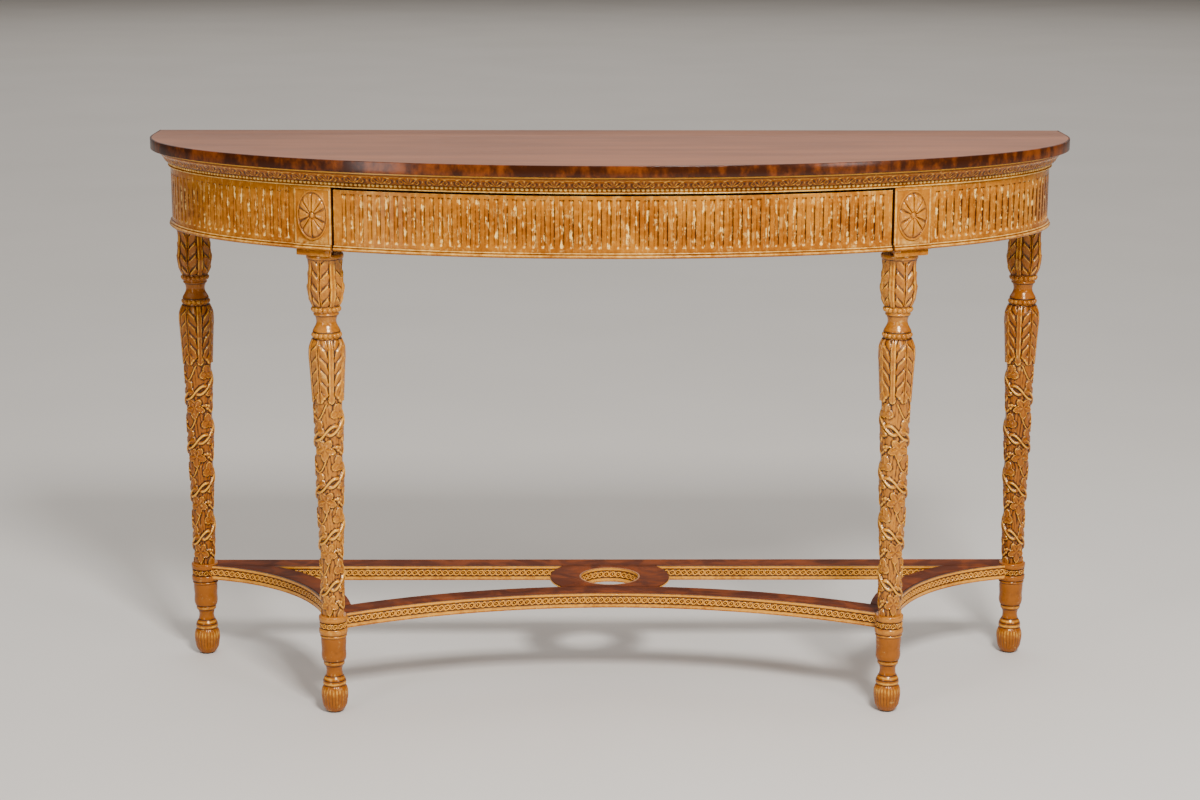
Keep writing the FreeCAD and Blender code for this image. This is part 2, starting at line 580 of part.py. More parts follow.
def arc_band(middle, inner_radius, outer_radius):
    """A full flat ring about an upright axis, at stretcher height."""
    outer = rod(middle.x, middle.y, STRETCHER_Z, outer_radius)
    return outer.cut(rod(middle.x, middle.y, STRETCHER_Z, inner_radius))


def arc_radius(half_chord, rise):
    return (half_chord ** 2 + rise ** 2) / (2 * rise)


# Back rail: straight, with its moulding on the front face
back_core_y = (rear_leg.y + RAIL_WIDTH / 2 - RAIL_CORE_WIDTH, rear_leg.y + RAIL_WIDTH / 2)
back_face_y = back_core_y[0] - RAIL_MOULDING_THICKNESS
back_core = box((-rear_leg.x, rear_leg.x), back_core_y, STRETCHER_Z).cut(collar_cores)
save("stretcher_back_rail", main_solid(back_core))

# Front rail: its front edge arches from one front leg up to the ring's front and down to the other
ring_middle = Vector(0, back_core_y[1] - RING_RADIUS, 0)
front_edge_y = ring_middle.y - RING_RADIUS
front_radius = arc_radius(front_leg.x, front_edge_y - front_leg.y)
front_middle = Vector(0, front_edge_y - front_radius, 0)
front_core_radius = front_radius + RAIL_MOULDING_THICKNESS
front_outer_radius = front_radius + RAIL_WIDTH
front_half = box((-front_leg.x, front_leg.x), (front_leg.y - OVERRUN, BACK_Y), STRETCHER_Z)
front_core = arc_band(front_middle, front_core_radius, front_outer_radius).common(front_half)
save("stretcher_front_rail", main_solid(front_core.cut(collar_cores)))
front_moulding = arc_band(front_middle, front_radius, front_core_radius).common(front_half)
save("stretcher_front_moulding", main_solid(front_moulding.cut(collar_cores)))

# Side rails: their outer edges bend in between the front and the back leg
leg_span = front_leg - rear_leg
side_radius = arc_radius(leg_span.Length / 2, SIDE_RAIL_RISE)
side_out = Vector(-leg_span.y, leg_span.x, 0).normalize()
side_middle = (front_leg + rear_leg) / 2 + side_out * (side_radius - SIDE_RAIL_RISE)
side_edge_radius = side_radius + SIDE_RAIL_SET_IN - RAIL_WIDTH / 2
side_core_radius = side_edge_radius + RAIL_MOULDING_THICKNESS
side_inner_radius = side_edge_radius + RAIL_WIDTH
side_room = box((0, rear_leg.x), (front_leg.y, back_core_y[0]), STRETCHER_Z)
front_zone = rod(front_middle.x, front_middle.y, STRETCHER_Z, front_outer_radius)
front_zone = front_zone.common(box((0, front_leg.x), (front_middle.y, BACK_Y), STRETCHER_Z))
side_core = arc_band(side_middle, side_core_radius, side_inner_radius).common(side_room)
side_core = main_solid(side_core.cut(collar_cores + [front_zone]))
save("stretcher_side_rail_right", side_core)
save("stretcher_side_rail_left", mirrored(side_core))
side_moulding = arc_band(side_middle, side_edge_radius, side_core_radius).common(side_room)
side_moulding = main_solid(side_moulding.cut(collar_cores + [front_zone]))
save("stretcher_side_moulding_right", side_moulding)
save("stretcher_side_moulding_left", mirrored(side_moulding))

# Ring in the middle, fitted between the rails, with a lining round its hole
lining_radius = RING_HOLE_RADIUS - RING_LINING_THICKNESS
ring_room = box((-RING_RADIUS, RING_RADIUS), (front_edge_y, back_core_y[0]), STRETCHER_Z)
ring_cutter = rod(front_middle.x, front_middle.y, STRETCHER_Z, front_outer_radius)
ring = arc_band(ring_middle, RING_HOLE_RADIUS, RING_RADIUS).common(ring_room).cut(ring_cutter)
save("stretcher_ring", main_solid(ring))
save("ring_lining", arc_band(ring_middle, lining_radius, RING_HOLE_RADIUS))

# Mouldings along the back rail, from the ring out to each side rail
window_moulding = box((0, rear_leg.x), (back_face_y, back_core_y[0]), STRETCHER_Z)
ring_disc = rod(ring_middle.x, ring_middle.y, STRETCHER_Z, RING_RADIUS)
side_disc = rod(side_middle.x, side_middle.y, STRETCHER_Z, side_inner_radius)
window_moulding = main_solid(window_moulding.cut([ring_disc, side_disc] + collar_cores))
save("stretcher_window_mouldings", Part.makeCompound([mirrored(window_moulding), window_moulding]))
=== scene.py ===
# %% [markdown]
# # A half-oval console table
# The table exists already as plain solids: turned legs, curved friezes, a drawer, a low stretcher. This lesson
# gives those solids the surface of the real table, which is almost all carving: leaves, beads, flutes, vines and
# interlaced bands, in honey-coloured wood that has been rubbed pale on its edges and left dark in its grooves.
# The solids are loaded first. They are a fixed frame, so every carved piece is made where its solid stands.

# %% Load the frame
import math

import bmesh
import bpy
import numpy as np
from bmesh.types import BMEdge, BMVert
from mathutils import Matrix, Vector


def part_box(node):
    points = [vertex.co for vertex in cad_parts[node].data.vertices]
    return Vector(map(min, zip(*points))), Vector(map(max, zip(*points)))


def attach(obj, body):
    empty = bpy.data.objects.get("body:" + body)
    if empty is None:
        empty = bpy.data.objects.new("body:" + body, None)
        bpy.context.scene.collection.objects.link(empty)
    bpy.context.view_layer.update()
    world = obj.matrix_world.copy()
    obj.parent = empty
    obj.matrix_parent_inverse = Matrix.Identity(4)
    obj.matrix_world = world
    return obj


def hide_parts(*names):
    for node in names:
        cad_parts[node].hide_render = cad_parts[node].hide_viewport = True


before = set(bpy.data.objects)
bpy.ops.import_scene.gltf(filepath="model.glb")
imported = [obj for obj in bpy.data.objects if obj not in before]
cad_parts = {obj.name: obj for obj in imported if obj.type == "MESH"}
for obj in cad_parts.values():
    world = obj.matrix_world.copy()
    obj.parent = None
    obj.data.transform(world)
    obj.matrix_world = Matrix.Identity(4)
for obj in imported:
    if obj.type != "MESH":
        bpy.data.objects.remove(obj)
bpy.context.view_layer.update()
scene = bpy.context.scene
MM = 0.001
TAU = 2 * math.pi
print("solids in the frame:", len(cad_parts))

# %% [markdown]
# ## Camera
# The photograph was taken from a standing height, a little left of the middle, with a lens a bit longer than normal.
# A camera in Blender looks down its own -Z axis, so it is tipped up by a quarter turn less the downward pitch,
# and then turned by the small yaw. The focal length is known in pixels, and the sensor width makes it millimetres.

# %% Camera
CAMERA_PLACE = Vector((-0.0558, -3.8459, 1.3521))
CAMERA_PITCH = 0.21816
CAMERA_YAW = -0.00974
CAMERA_ROLL = 0.00194
FOCAL_LENGTH_PIXELS = 2407.1
IMAGE_WIDTH_PIXELS = 1200

lens = bpy.data.cameras.new("photo_camera")
lens.sensor_width = 36.0
lens.lens = FOCAL_LENGTH_PIXELS / IMAGE_WIDTH_PIXELS * lens.sensor_width
camera = bpy.data.objects.new("photo_camera", lens)
turn = Matrix.Rotation(CAMERA_YAW, 4, "Z") @ Matrix.Rotation(TAU / 4 - CAMERA_PITCH, 4, "X")
camera.matrix_world = Matrix.Translation(CAMERA_PLACE) @ turn @ Matrix.Rotation(CAMERA_ROLL, 4, "Z")
scene.collection.objects.link(camera)
scene.camera = camera
print("lens in millimetres:", round(lens.lens, 1))

# %% [markdown]
# ## Light
# Carving only shows when light rakes across it. A wide ceiling of soft light puts the underside of every leaf and
# moulding in shade, keeps the floor pale far back, and is what the lacquered top reflects towards the camera. A small
# light hangs high in front, a little to the right: it gives the polished ridges their bright points and leaves the
# rear legs in the shade of the apron. A tall one stands at the left, where the edge of the top catches it, and a
# weaker one at the right. The world adds a faint glow.

# %% Light
ROOM_GLOW = (1.0, 0.88, 0.77, 1)
ROOM_STRENGTH = 0.12
# For each light: its place, what it points at, its size in metres and its power in watts.
LIGHTS = {
    "ceiling": ((0, 8.0, 4.6), (0, 8.0, 0), (16.0, 24.0), 950.0),
    "front": ((0.9, -3.0, 3.4), (0, 0, 0.5), (0.8, 0.8), 262.0),
    "left": ((-2.3, -2.7, 1.1), (-0.3, 0, 0.6), (0.6, 2.0), 29.0),
    "right": ((2.3, -2.6, 1.5), (0.3, 0, 0.5), (0.6, 1.4), 30.0),
}
for name, (place, target, size, power) in LIGHTS.items():
    light = bpy.data.lights.new(name, "AREA")
    light.shape = "RECTANGLE"
    light.size, light.size_y = size
    light.energy = power
    lamp = bpy.data.objects.new(name, light)
    lamp.location = place
    lamp.rotation_euler = (Vector(target) - Vector(place)).to_track_quat("-Z", "Y").to_euler()
    scene.collection.objects.link(lamp)
scene.world = bpy.data.worlds.new("pale_room")
scene.world.use_nodes = True
glow = scene.world.node_tree.nodes["Background"].inputs
glow["Color"].default_value = ROOM_GLOW
glow["Strength"].default_value = ROOM_STRENGTH
print("lights:", list(LIGHTS))

# %% [markdown]
# ## Writing shaders as sums
# A material in Blender is a graph of nodes. Drawn by hand, a sum of two masks is three nodes and four links, so the
# class here wraps one socket and lets Python's own operators add the Math nodes. Its method `node` makes every other
# node: settings first, then the values or links of the sockets. Colours are mixed by `blend`, because Math nodes
# would turn them grey.

# %% A socket that takes part in sums
class Shade:
    """One output socket of a shader graph."""

    def __init__(self, tree, socket):
        self.tree = tree
        self.socket = socket

    def node(self, kind, settings, inputs, output=0):
        made = self.tree.nodes.new("ShaderNode" + kind)
        for name, value in settings.items():
            setattr(made, name, value)
        for name, value in inputs.items():
            if isinstance(value, Shade):
                self.tree.links.new(value.socket, made.inputs[name])
            else:
                made.inputs[name].default_value = value
        return Shade(self.tree, made.outputs[output])

    def math(self, operation, other):
        return self.node("Math", {"operation": operation}, {0: self, 1: other})

    def __add__(self, other):
        return self.math("ADD", other)

    def __sub__(self, other):
        return self.math("SUBTRACT", other)

    def __mul__(self, other):
        return self.math("MULTIPLY", other)

    __radd__ = __add__
    __rmul__ = __mul__


def blend(factor, low, high):
    return factor.node("Mix", {"data_type": "RGBA"}, {0: factor, 6: low, 7: high}, 2)


def ease(value, low, high):
    """0 below low, 1 above high and a smooth rise between them; low may be the larger one."""
    settings = {"interpolation_type": "SMOOTHSTEP"}
    return value.node("MapRange", settings, {"Value": value, "From Min": low, "From Max": high})


def stretched(place, scale):
    return place.node("Mapping", {"vector_type": "POINT"}, {"Vector": place, "Scale": scale})


def cloud(place, scale, detail=2.0, roughness=0.5, distortion=0.0):
    """Soft noise from 0 to 1; scale is in cells per metre."""
    inputs = {"Vector": place, "Scale": scale, "Detail": detail, "Roughness": roughness, "Distortion": distortion}
    return place.node("TexNoise", {}, inputs, "Fac")


def attribute(place, name):
    return place.node("Attribute", {"attribute_name": name}, {}, "Fac")


def bumped(height, distance, strength):
    return height.node("Bump", {}, {"Height": height, "Distance": distance, "Strength": strength})


# %% A material from a recipe
def new_material(name, recipe, *values):
    """A material whose recipe makes the inputs of its surface from the place on the object and more values."""
    material = bpy.data.materials.new(name)
    material.use_nodes = True
    tree = material.node_tree
    tree.nodes.clear()
    place = Shade(tree, tree.nodes.new("ShaderNodeTexCoord").outputs["Object"])
    surface = place.node("BsdfPrincipled", {}, recipe(place, *values))
    out = tree.nodes.new("ShaderNodeOutputMaterial")
    tree.links.new(surface.socket, out.inputs["Surface"])
    print("material:", name, len(tree.nodes), "nodes")
    return material


# %% [markdown]
# ## Rubbed honey gilding
# The carved wood is painted a warm ochre, glazed brown and then rubbed back. The glaze stays in the grooves and the
# pale ground shows on the ridges. Each carved mesh carries a number per point called `relief`: near 0 in a groove,
# one half on a plain stretch, near 1 on a ridge. The finish mixes glaze, ochre and pale ground by that number, and
# a little noise makes the rubbing uneven, as a cloth in a hand does. The dark in the grooves is deeper than glaze
# alone, so it is partly painted shade, and the pale on the ridges is partly painted highlight. The rear legs get a
# darker copy of the finish: painted shade for the shade of the apron that they stand in.

# %% Rubbed honey gilding
HONEY = (0.46, 0.165, 0.010, 1)
AMBER = (0.27, 0.074, 0.004, 1)
UMBER = (0.040, 0.008, 0.0010, 1)
CREAM = (0.96, 0.64, 0.19, 1)
PALE_GOLD = (0.82, 0.40, 0.045, 1)
RUDDY_GOLD = (0.76, 0.34, 0.042, 1)
WARM_GLOSS = (1.0, 0.78, 0.50, 1)


def gilding(place, warmth, pale, wear_and_highlight_start, glaze_and_shade_start, gloss):
    """Warmth moves the ochre from honey, 0, to amber, 1.

    The pale tone, for rubbed ground and painted highlight, and the dark glaze, for glaze and painted shade, start at
    levels of relief."""
    patches = cloud(place, 13.0, 3.0)
    mottle = cloud(place, 130.0, 3.0, 0.6)
    grain = cloud(stretched(place, (1, 1, 0.16)), 330.0, 3.0, 0.6)
    relief = attribute(place, "relief")
    flecks = ease(cloud(place, 75.0, 4.0, 0.65), 0.60, 0.72)
    rubbed = relief + 0.34 * (mottle - 0.5) + 0.16 * (patches - 0.5)
    tone = 0.5 * patches + 0.4 * mottle + 0.3 * (relief - 0.5) - 0.3 * warmth
    colour = blend(ease(tone, 0.30, 0.62), AMBER, HONEY)
    colour = blend(0.28 * flecks, colour, CREAM)
    # Low relief turns dark and high relief pale: glaze and rubbing, and also painted shade in the grooves and painted
    # highlight on the ridges.
    colour = blend(ease(rubbed, glaze_and_shade_start, glaze_and_shade_start - 0.30), colour, UMBER)
    colour = blend(ease(rubbed, wear_and_highlight_start, wear_and_highlight_start + 0.28) * 0.85, colour, pale)
    streaks = ease(grain + 0.55 * (mottle - 0.5), 0.55, 0.66) * attribute(place, "streak")
    return {
        "Base Color": blend(streaks, colour, CREAM),
        "Roughness": 0.12 + 0.16 * mottle + 0.25 * ease(relief, 0.5, 0.1),
        "Normal": bumped(grain + 0.6 * mottle, 0.0005, 0.3),
        "Specular IOR Level": gloss,
        "Specular Tint": WARM_GLOSS,
    }


gilt_apron = new_material("gilt_apron", gilding, 0.0, CREAM, 0.66, 0.42, 0.2)
gilt_leaves = new_material("gilt_leaves", gilding, -0.1, PALE_GOLD, 0.73, 0.43, 0.75)
gilt_feet = new_material("gilt_feet", gilding, 0.6, PALE_GOLD, 0.64, 0.42, 0.45)
# Rear legs and collars: a darker copy of the leg finish, painted shade for the shade of the apron they stand in.
gilt_rear_painted_shade = new_material("gilt_rear_painted_shade", gilding, 0.6, PALE_GOLD, 0.74, 0.50, 0.5)
gilt_band = new_material("gilt_band", gilding, 0.2, RUDDY_GOLD, 0.64, 0.47, 0.45)
# The cornice is darker and redder than the rest of the apron: painted shade for the shadow that the top casts on it.
gilt_cornice_painted_shade = new_material("gilt_cornice_painted_shade", gilding, 1.0, PALE_GOLD, 0.63, 0.47, 0.35)

# %% [markdown]
# ## Lacquered veneers
# The top is one sheet of red-brown veneer under thick clear lacquer. Its grain runs along the table, so noise is
# squeezed along X. The lacquer is the shader's coat: a second, sharper reflection over the softer wood. The edge of
# the top is veneered in short upright pieces, each a different mix of dark brown and fiery orange. Every piece needs
# a tone of its own, and a Voronoi pattern in one dimension, run along the edge, gives just that. The tops of the low
# rails are redder, with a softer polish and dark clouds: one noise bent by itself, like the figure of a burr.

# %% Lacquered veneers
TOP_DARK = (0.235, 0.080, 0.033, 1)
TOP_RED = (0.33, 0.115, 0.048, 1)
EDGE_DARK = (0.030, 0.006, 0.001, 1)
EDGE_FIRE = (0.17, 0.036, 0.002, 1)
RAIL_DARK = (0.085, 0.016, 0.003, 1)
RAIL_RED = (0.185, 0.038, 0.005, 1)
EDGE_PIECES_PER_METRE = 21.0


def top_lacquer(place):
    figure = cloud(stretched(place, (0.12, 1, 1)), 26.0, 4.0, 0.6)
    pores = cloud(stretched(place, (0.03, 1, 1)), 420.0)
    return {
        "Base Color": blend(ease(figure + 0.3 * (pores - 0.5), 0.3, 0.7), TOP_DARK, TOP_RED),
        "Roughness": 0.30 + 0.12 * pores,
        "Normal": bumped(pores, 0.00008, 0.4),
        "Specular IOR Level": 0.25,
        "Coat Weight": 0.24,
        "Coat Roughness": 0.10,
    }


def edge_lacquer(place):
    settings = {"voronoi_dimensions": "1D", "feature": "SMOOTH_F1"}
    inputs = {"W": attribute(place, "along"), "Scale": EDGE_PIECES_PER_METRE, "Smoothness": 0.12}
    piece = place.node("TexVoronoi", settings, inputs, "Color")
    tone = piece.node("SeparateColor", {"mode": "RGB"}, {"Color": piece}, "Red")
    flame = cloud(stretched(place, (1, 1, 0.7)), 60.0, 3.0, 0.6)
    fire = ease(0.09 * tone + 0.9 * flame + 0.7 * cloud(place, 11.0), 0.68, 1.08)
    return {
        "Base Color": blend(fire, EDGE_DARK, EDGE_FIRE),
        "Roughness": 0.30 + 0.15 * flame,
        "Specular IOR Level": 0.05,
        "Coat Weight": 0.40,
        "Coat Roughness": 0.16,
    }


def rail_lacquer(place):
    fibres = cloud(stretched(place, (0.25, 1, 1)), 160.0, 3.0)
    clouds = cloud(place, 14.0, distortion=1.6) + 0.35 * (fibres - 0.5)
    colour = blend(ease(clouds, 0.36, 0.66), RAIL_DARK, RAIL_RED)
    # The bevelled edges of the rails turn dark: a painted shadow line along the edge of the veneer.
    colour = blend(ease(attribute(place, "relief"), 0.55, 0.75), colour, EDGE_DARK)
    return {"Base Color": colour, "Roughness": 0.32 + 0.16 * fibres, "Specular IOR Level": 0.04}


top_veneer = new_material("top_lacquer", top_lacquer)
edge_veneer = new_material("edge_lacquer", edge_lacquer)
rail_veneer = new_material("rail_lacquer", rail_lacquer)

# %% [markdown]
# ## Plain wood, steel, plastic and the floor
# Behind the carved front the table is ordinary joinery: a back rail, drawer runners, the drawer's own box. It shows
# from the back and with the drawer open, so it gets sanded wood with grain along each piece, and its small screws and
# floor glides get their own finishes. These, like the pale floor, are two tones mixed by one noise, which also makes
# the gloss uneven.

# %% Plain wood, steel, plastic and the floor
WOOD_PALE = (0.46, 0.27, 0.115, 1)
WOOD_WARM = (0.27, 0.135, 0.050, 1)
ZINC = ((0.46, 0.46, 0.44, 1), (0.66, 0.66, 0.63, 1))
GLIDE_BLACK = ((0.018, 0.014, 0.011, 1), (0.06, 0.05, 0.04, 1))
FLOOR_GREY = ((0.60, 0.56, 0.51, 1), (0.67, 0.63, 0.58, 1))
NO_METAL = 0.0
ALL_METAL = 1.0


def sanded_wood(place, squeeze):
    rings = cloud(stretched(place, squeeze), 46.0, 4.0, 0.62)
    pores = cloud(stretched(place, squeeze), 700.0)
    return {
        "Base Color": blend(ease(rings + 0.4 * (pores - 0.5), 0.32, 0.68), WOOD_WARM, WOOD_PALE),
        "Roughness": 0.58 + 0.2 * pores,
        "Normal": bumped(pores + rings, 0.0002, 0.5),
    }


def two_tone(place, noise, low, high, roughness, metal=NO_METAL, range_of_noise=None):
    """A plain finish whose tone follows noise, or noise eased over a range, from low to high."""
    haze = cloud(place, *noise)
    colour = blend(ease(haze, *range_of_noise) if range_of_noise else haze, low, high)
    return {"Base Color": colour, "Roughness": roughness[0] + roughness[1] * haze, "Metallic": metal}


wood_across = new_material("sanded_wood_across", sanded_wood, (0.05, 1, 1))
wood_deep = new_material("sanded_wood_deep", sanded_wood, (1, 0.05, 1))
wood_upright = new_material("sanded_wood_upright", sanded_wood, (1, 1, 0.05))
steel = new_material("zinc_steel", two_tone, (800.0, 3.0), *ZINC, (0.26, 0.2), ALL_METAL)
plastic = new_material("glide_plastic", two_tone, (600.0, 4.0, 0.7), *GLIDE_BLACK, (0.5, 0.3), NO_METAL, (0.4, 0.8))
pale_floor = new_material("pale_floor", two_tone, (1.3, 3.0), *FLOOR_GREY, (0.6, 0.1))

# %% [markdown]
# ## Floor
# The floor is only a stage for the table: pale, matt and wide enough to fill the picture. One square with a faint
# cloud of tone is all that it needs, because nothing else stands on it.

# %% Floor
FLOOR_HALF_SIZE = 40.0
floor_mesh = bpy.data.meshes.new("floor")
floor_bm = bmesh.new()
bmesh.ops.create_grid(floor_bm, x_segments=1, y_segments=1, size=FLOOR_HALF_SIZE)
floor_bm.to_mesh(floor_mesh)
floor_bm.free()
floor_mesh.materials.append(pale_floor)
floor = bpy.data.objects.new("floor", floor_mesh)
scene.collection.objects.link(floor)
print("floor:", 2 * FLOOR_HALF_SIZE, "metres square")

# %% [markdown]
# ## From a bmesh to a piece of the table
# Every piece ends the same way. Its bmesh becomes a mesh, its faces are shaded smooth with creases kept where they
# meet at a real angle, the piece is parented to the body it rides on, and the solids it stands for are hidden.

# %% From a bmesh to a piece of the table
CREASE_ANGLE = math.radians(38)


def add_piece(name, bm, material, nodes, body="table"):
    bmesh.ops.recalc_face_normals(bm, faces=bm.faces)
    mesh = bpy.data.meshes.new(name)
    bm.to_mesh(mesh)
    bm.free()
    mesh.shade_smooth()
    mesh.set_sharp_from_angle(angle=CREASE_ANGLE)
    mesh.materials.append(material)
    piece = bpy.data.objects.new(name, mesh)
    scene.collection.objects.link(piece)
    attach(piece, body)
    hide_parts(*nodes)
    print(name, "faces:", len(mesh.polygons))


def joined(parts):
    """Several bmeshes as one."""
    whole = bmesh.new()
    for part in parts:
        step = bpy.data.meshes.new("step")
        part.to_mesh(step)
        part.free()
        whole.from_mesh(step)
        bpy.data.meshes.remove(step)
    return whole


def points(bm):
    return np.array([vert.co for vert in bm.verts])


def note(bm, name, values):
    """Stores a number per point, or one for all of them, under a name that a material can ask for."""
    layer = bm.verts.layers.float.new(name)
    for vert, value in zip(bm.verts, np.broadcast_to(values, len(bm.verts))):
        vert[layer] = value


def of_kind(kind, items):
    return [item for item in items if isinstance(item, kind)]


# %% [markdown]
# ## Lines that the apron follows
# The front of the table is half an ellipse with a short straight stretch at each end. Mouldings and friezes all
# follow that line, drawn in by their own inset. Patterns such as flutes have to be spaced evenly along it, and equal
# steps of an ellipse's angle aren't equal lengths, so a line here measures itself once and is then asked by length.

# %% Lines that the apron follows
SIDE_RETURN = 75 * MM
LINE_STEPS = 3001
top_low, top_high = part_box("top_edge_band")
HALF_WIDTH = top_high.x
BACK_Y = top_high.y
CURVE_Y = BACK_Y - SIDE_RETURN
CURVE_DEPTH = CURVE_Y - top_low.y
APRON_BACK_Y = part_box("frieze_right")[1].y
SIDES = {"right": 1, "left": -1}


class ApronLine:
    """The table's outline at one inset in millimetres, measured from the middle of the front."""

    def __init__(self, inset, back_y=APRON_BACK_Y):
        half_width = HALF_WIDTH - inset * MM
        angle = np.linspace(-TAU / 4, TAU / 4, LINE_STEPS)
        x = half_width * np.sin(angle)
        y = CURVE_Y - (CURVE_DEPTH - inset * MM) * np.cos(angle)
        self.x = np.concatenate([[-half_width], x, [half_width]])
        self.y = np.concatenate([[back_y], y, [back_y]])
        steps = np.hypot(np.diff(self.x), np.diff(self.y))
        length = np.concatenate([[0], np.cumsum(steps)])
        self.length = length - length[-1] / 2
        self.heading = np.unwrap(np.arctan2(np.gradient(self.y), np.gradient(self.x)))
        self.end = self.length[-1]

    def along_at(self, x):
        """How far along the line a place across the width lies."""
        return float(np.interp(x, self.x[1:-1], self.length[1:-1]))

    def places(self, along):
        """Points on the line and the directions out of the table there."""
        x = np.interp(along, self.length, self.x)
        y = np.interp(along, self.length, self.y)
        heading = np.interp(along, self.length, self.heading)
        return x, y, np.sin(heading), -np.cos(heading)

    def even_pitch(self, pitch):
        """The pitch in millimetres, near a wanted one, that fits the line a whole number of times."""
        length = 2 * self.end / MM
        return length / round(length / pitch)


def mirrored(way, low, high):
    """A stretch along a line on the right side, way 1, or its mirror image on the left, way -1."""
    return sorted((way * low, way * high))


edge_line = ApronLine(0, BACK_Y)
print("apron line at the edge of the top:", round(2 * edge_line.end, 3), "metres")

# %% [markdown]
# ## Carved strips
# A frieze or a moulding is a long strip with a pattern. It is made flat: a grid whose rows and columns are moved to
# where the pattern needs them, raised by a function of the place along and the place up. Then its top edge is
# extruded back and down and bridged to its bottom edge, which makes it solid, and at last the strip is bent along
# its line. The same function, asked at the four neighbours of a point, also says whether the point is a ridge or a
# groove, and that is stored as its relief.

# %% Carved strips
FINE_REACH = 1.3
BROAD_REACH = 3.6
FINE_GAIN = 0.50
BROAD_GAIN = 0.30
RIM_EASE = 0.6 * MM
# The backs of the strips and the end faces of the drawer front and blocks are painted dark: painted shade.
BACK_PAINTED_SHADE = 0.12
END_RELIEF = 0.40


def relief_level(height, along, up, along_unit=1.0):
    """One half on plain stretches, up to 1 on ridges and down to 0 in grooves. Sizes are in millimetres."""
    middle = height(along, up)
    level = 0.5
    for reach, gain in ((FINE_REACH, FINE_GAIN), (BROAD_REACH, BROAD_GAIN)):
        step = reach * along_unit
        beside = height(along - step, up) + height(along + step, up)
        beside = beside + height(along, up - reach) + height(along, up + reach)
        level = level + gain * (middle - beside / 4)
    return np.clip(level, 0, 1)


def flat_sheet(columns, rows):
    bm = bmesh.new()
    across = len(columns) - 1
    upwards = len(rows) - 1
    bmesh.ops.create_grid(bm, x_segments=across, y_segments=upwards, size=0.5)
    for vert in bm.verts:
        column = round((vert.co.x + 0.5) * across)
        row = round((vert.co.y + 0.5) * upwards)
        vert.co = Vector((columns[column], 0, rows[row]))
    return bm


def close_back(bm, depth, end_relief):
    """Draws a sheet's top edge back and down, joins it to the bottom edge and paints all of that dark, as painted
    shade.
    """
    relief = bm.verts.layers.float["relief"]
    low = min(vert.co.z for vert in bm.verts)
    high = max(vert.co.z for vert in bm.verts)
    rim = [edge for edge in bm.edges if edge.is_boundary]
    top = [edge for edge in rim if all(vert.co.z == high for vert in edge.verts)]
    bottom = [edge for edge in rim if all(vert.co.z == low for vert in edge.verts)]
    for level, back in ((high, RIM_EASE), (high, depth), (low, depth)):
        drawn = bmesh.ops.extrude_edge_only(bm, edges=top)["geom"]
        top = of_kind(BMEdge, drawn)
        for vert in of_kind(BMVert, drawn):
            vert.co.y = depth if back == depth else vert.co.y + back
            vert.co.z = level
            vert[relief] = BACK_PAINTED_SHADE
    bmesh.ops.bridge_loops(bm, edges=top + bottom)
    ends = bmesh.ops.holes_fill(bm, edges=bm.edges, sides=0)["faces"]
    bmesh.ops.inset_individual(bm, faces=ends, thickness=RIM_EASE)
    for vert in (vert for face in ends for vert in face.verts):
        vert[relief] = end_relief


def bend(bm, line):
    flat = points(bm)
    x, y, out_x, out_y = line.places(flat[:, 0])
    for vert, bent_x, bent_y in zip(bm.verts, x - out_x * flat[:, 1], y - out_y * flat[:, 1]):
        vert.co.x = bent_x
        vert.co.y = bent_y


def carved_strip(line, columns, rows, height, depth, level=None, streaks=None, end_relief=END_RELIEF):
    """A strip raised by its height function; level and streaks say how its finish is rubbed and glazed, and where
    painted highlight and painted shade lie.
    """
    bm = flat_sheet(columns, rows)
    along, _, up = points(bm).T / MM
    for vert, lift in zip(bm.verts, height(along, up) * MM):
        vert.co.y = -lift
    note(bm, "relief", level(along, up) if level else relief_level(height, along, up))
    note(bm, "along", along * MM)
    if streaks:
        note(bm, "streak", streaks(along, up))
    close_back(bm, depth, end_relief)
    bend(bm, line)
    return bm


# %% Places for rows and columns
def even_places(low, high, spacing):
    return np.linspace(low, high, max(2, round((high - low) / spacing) + 1)).tolist()


def stepped(start, steps):
    """Places that lie so many millimetres from a start."""
    return [start + step * MM for step in steps]


def from_ends(low, high, steps):
    """The same steps up from a low end and down from a high one."""
    return stepped(low, steps) + stepped(high, [-step for step in reversed(steps)])


# %% [markdown]
# ## Top board
# The board is a D: half an ellipse, a short straight stretch at each side and a straight back. A circle is scaled to
# the ellipse and cut across its middle, the cut edge is extruded to the back, and the outline is extruded up to the
# board's thickness. A fine bevel eases the upper edge, which would otherwise be sharper than any real board.

# %% Top board
TOP_EASE = 0.6 * MM
OUTLINE_SEGMENTS = 320
SAME_PLACE = MM / 100


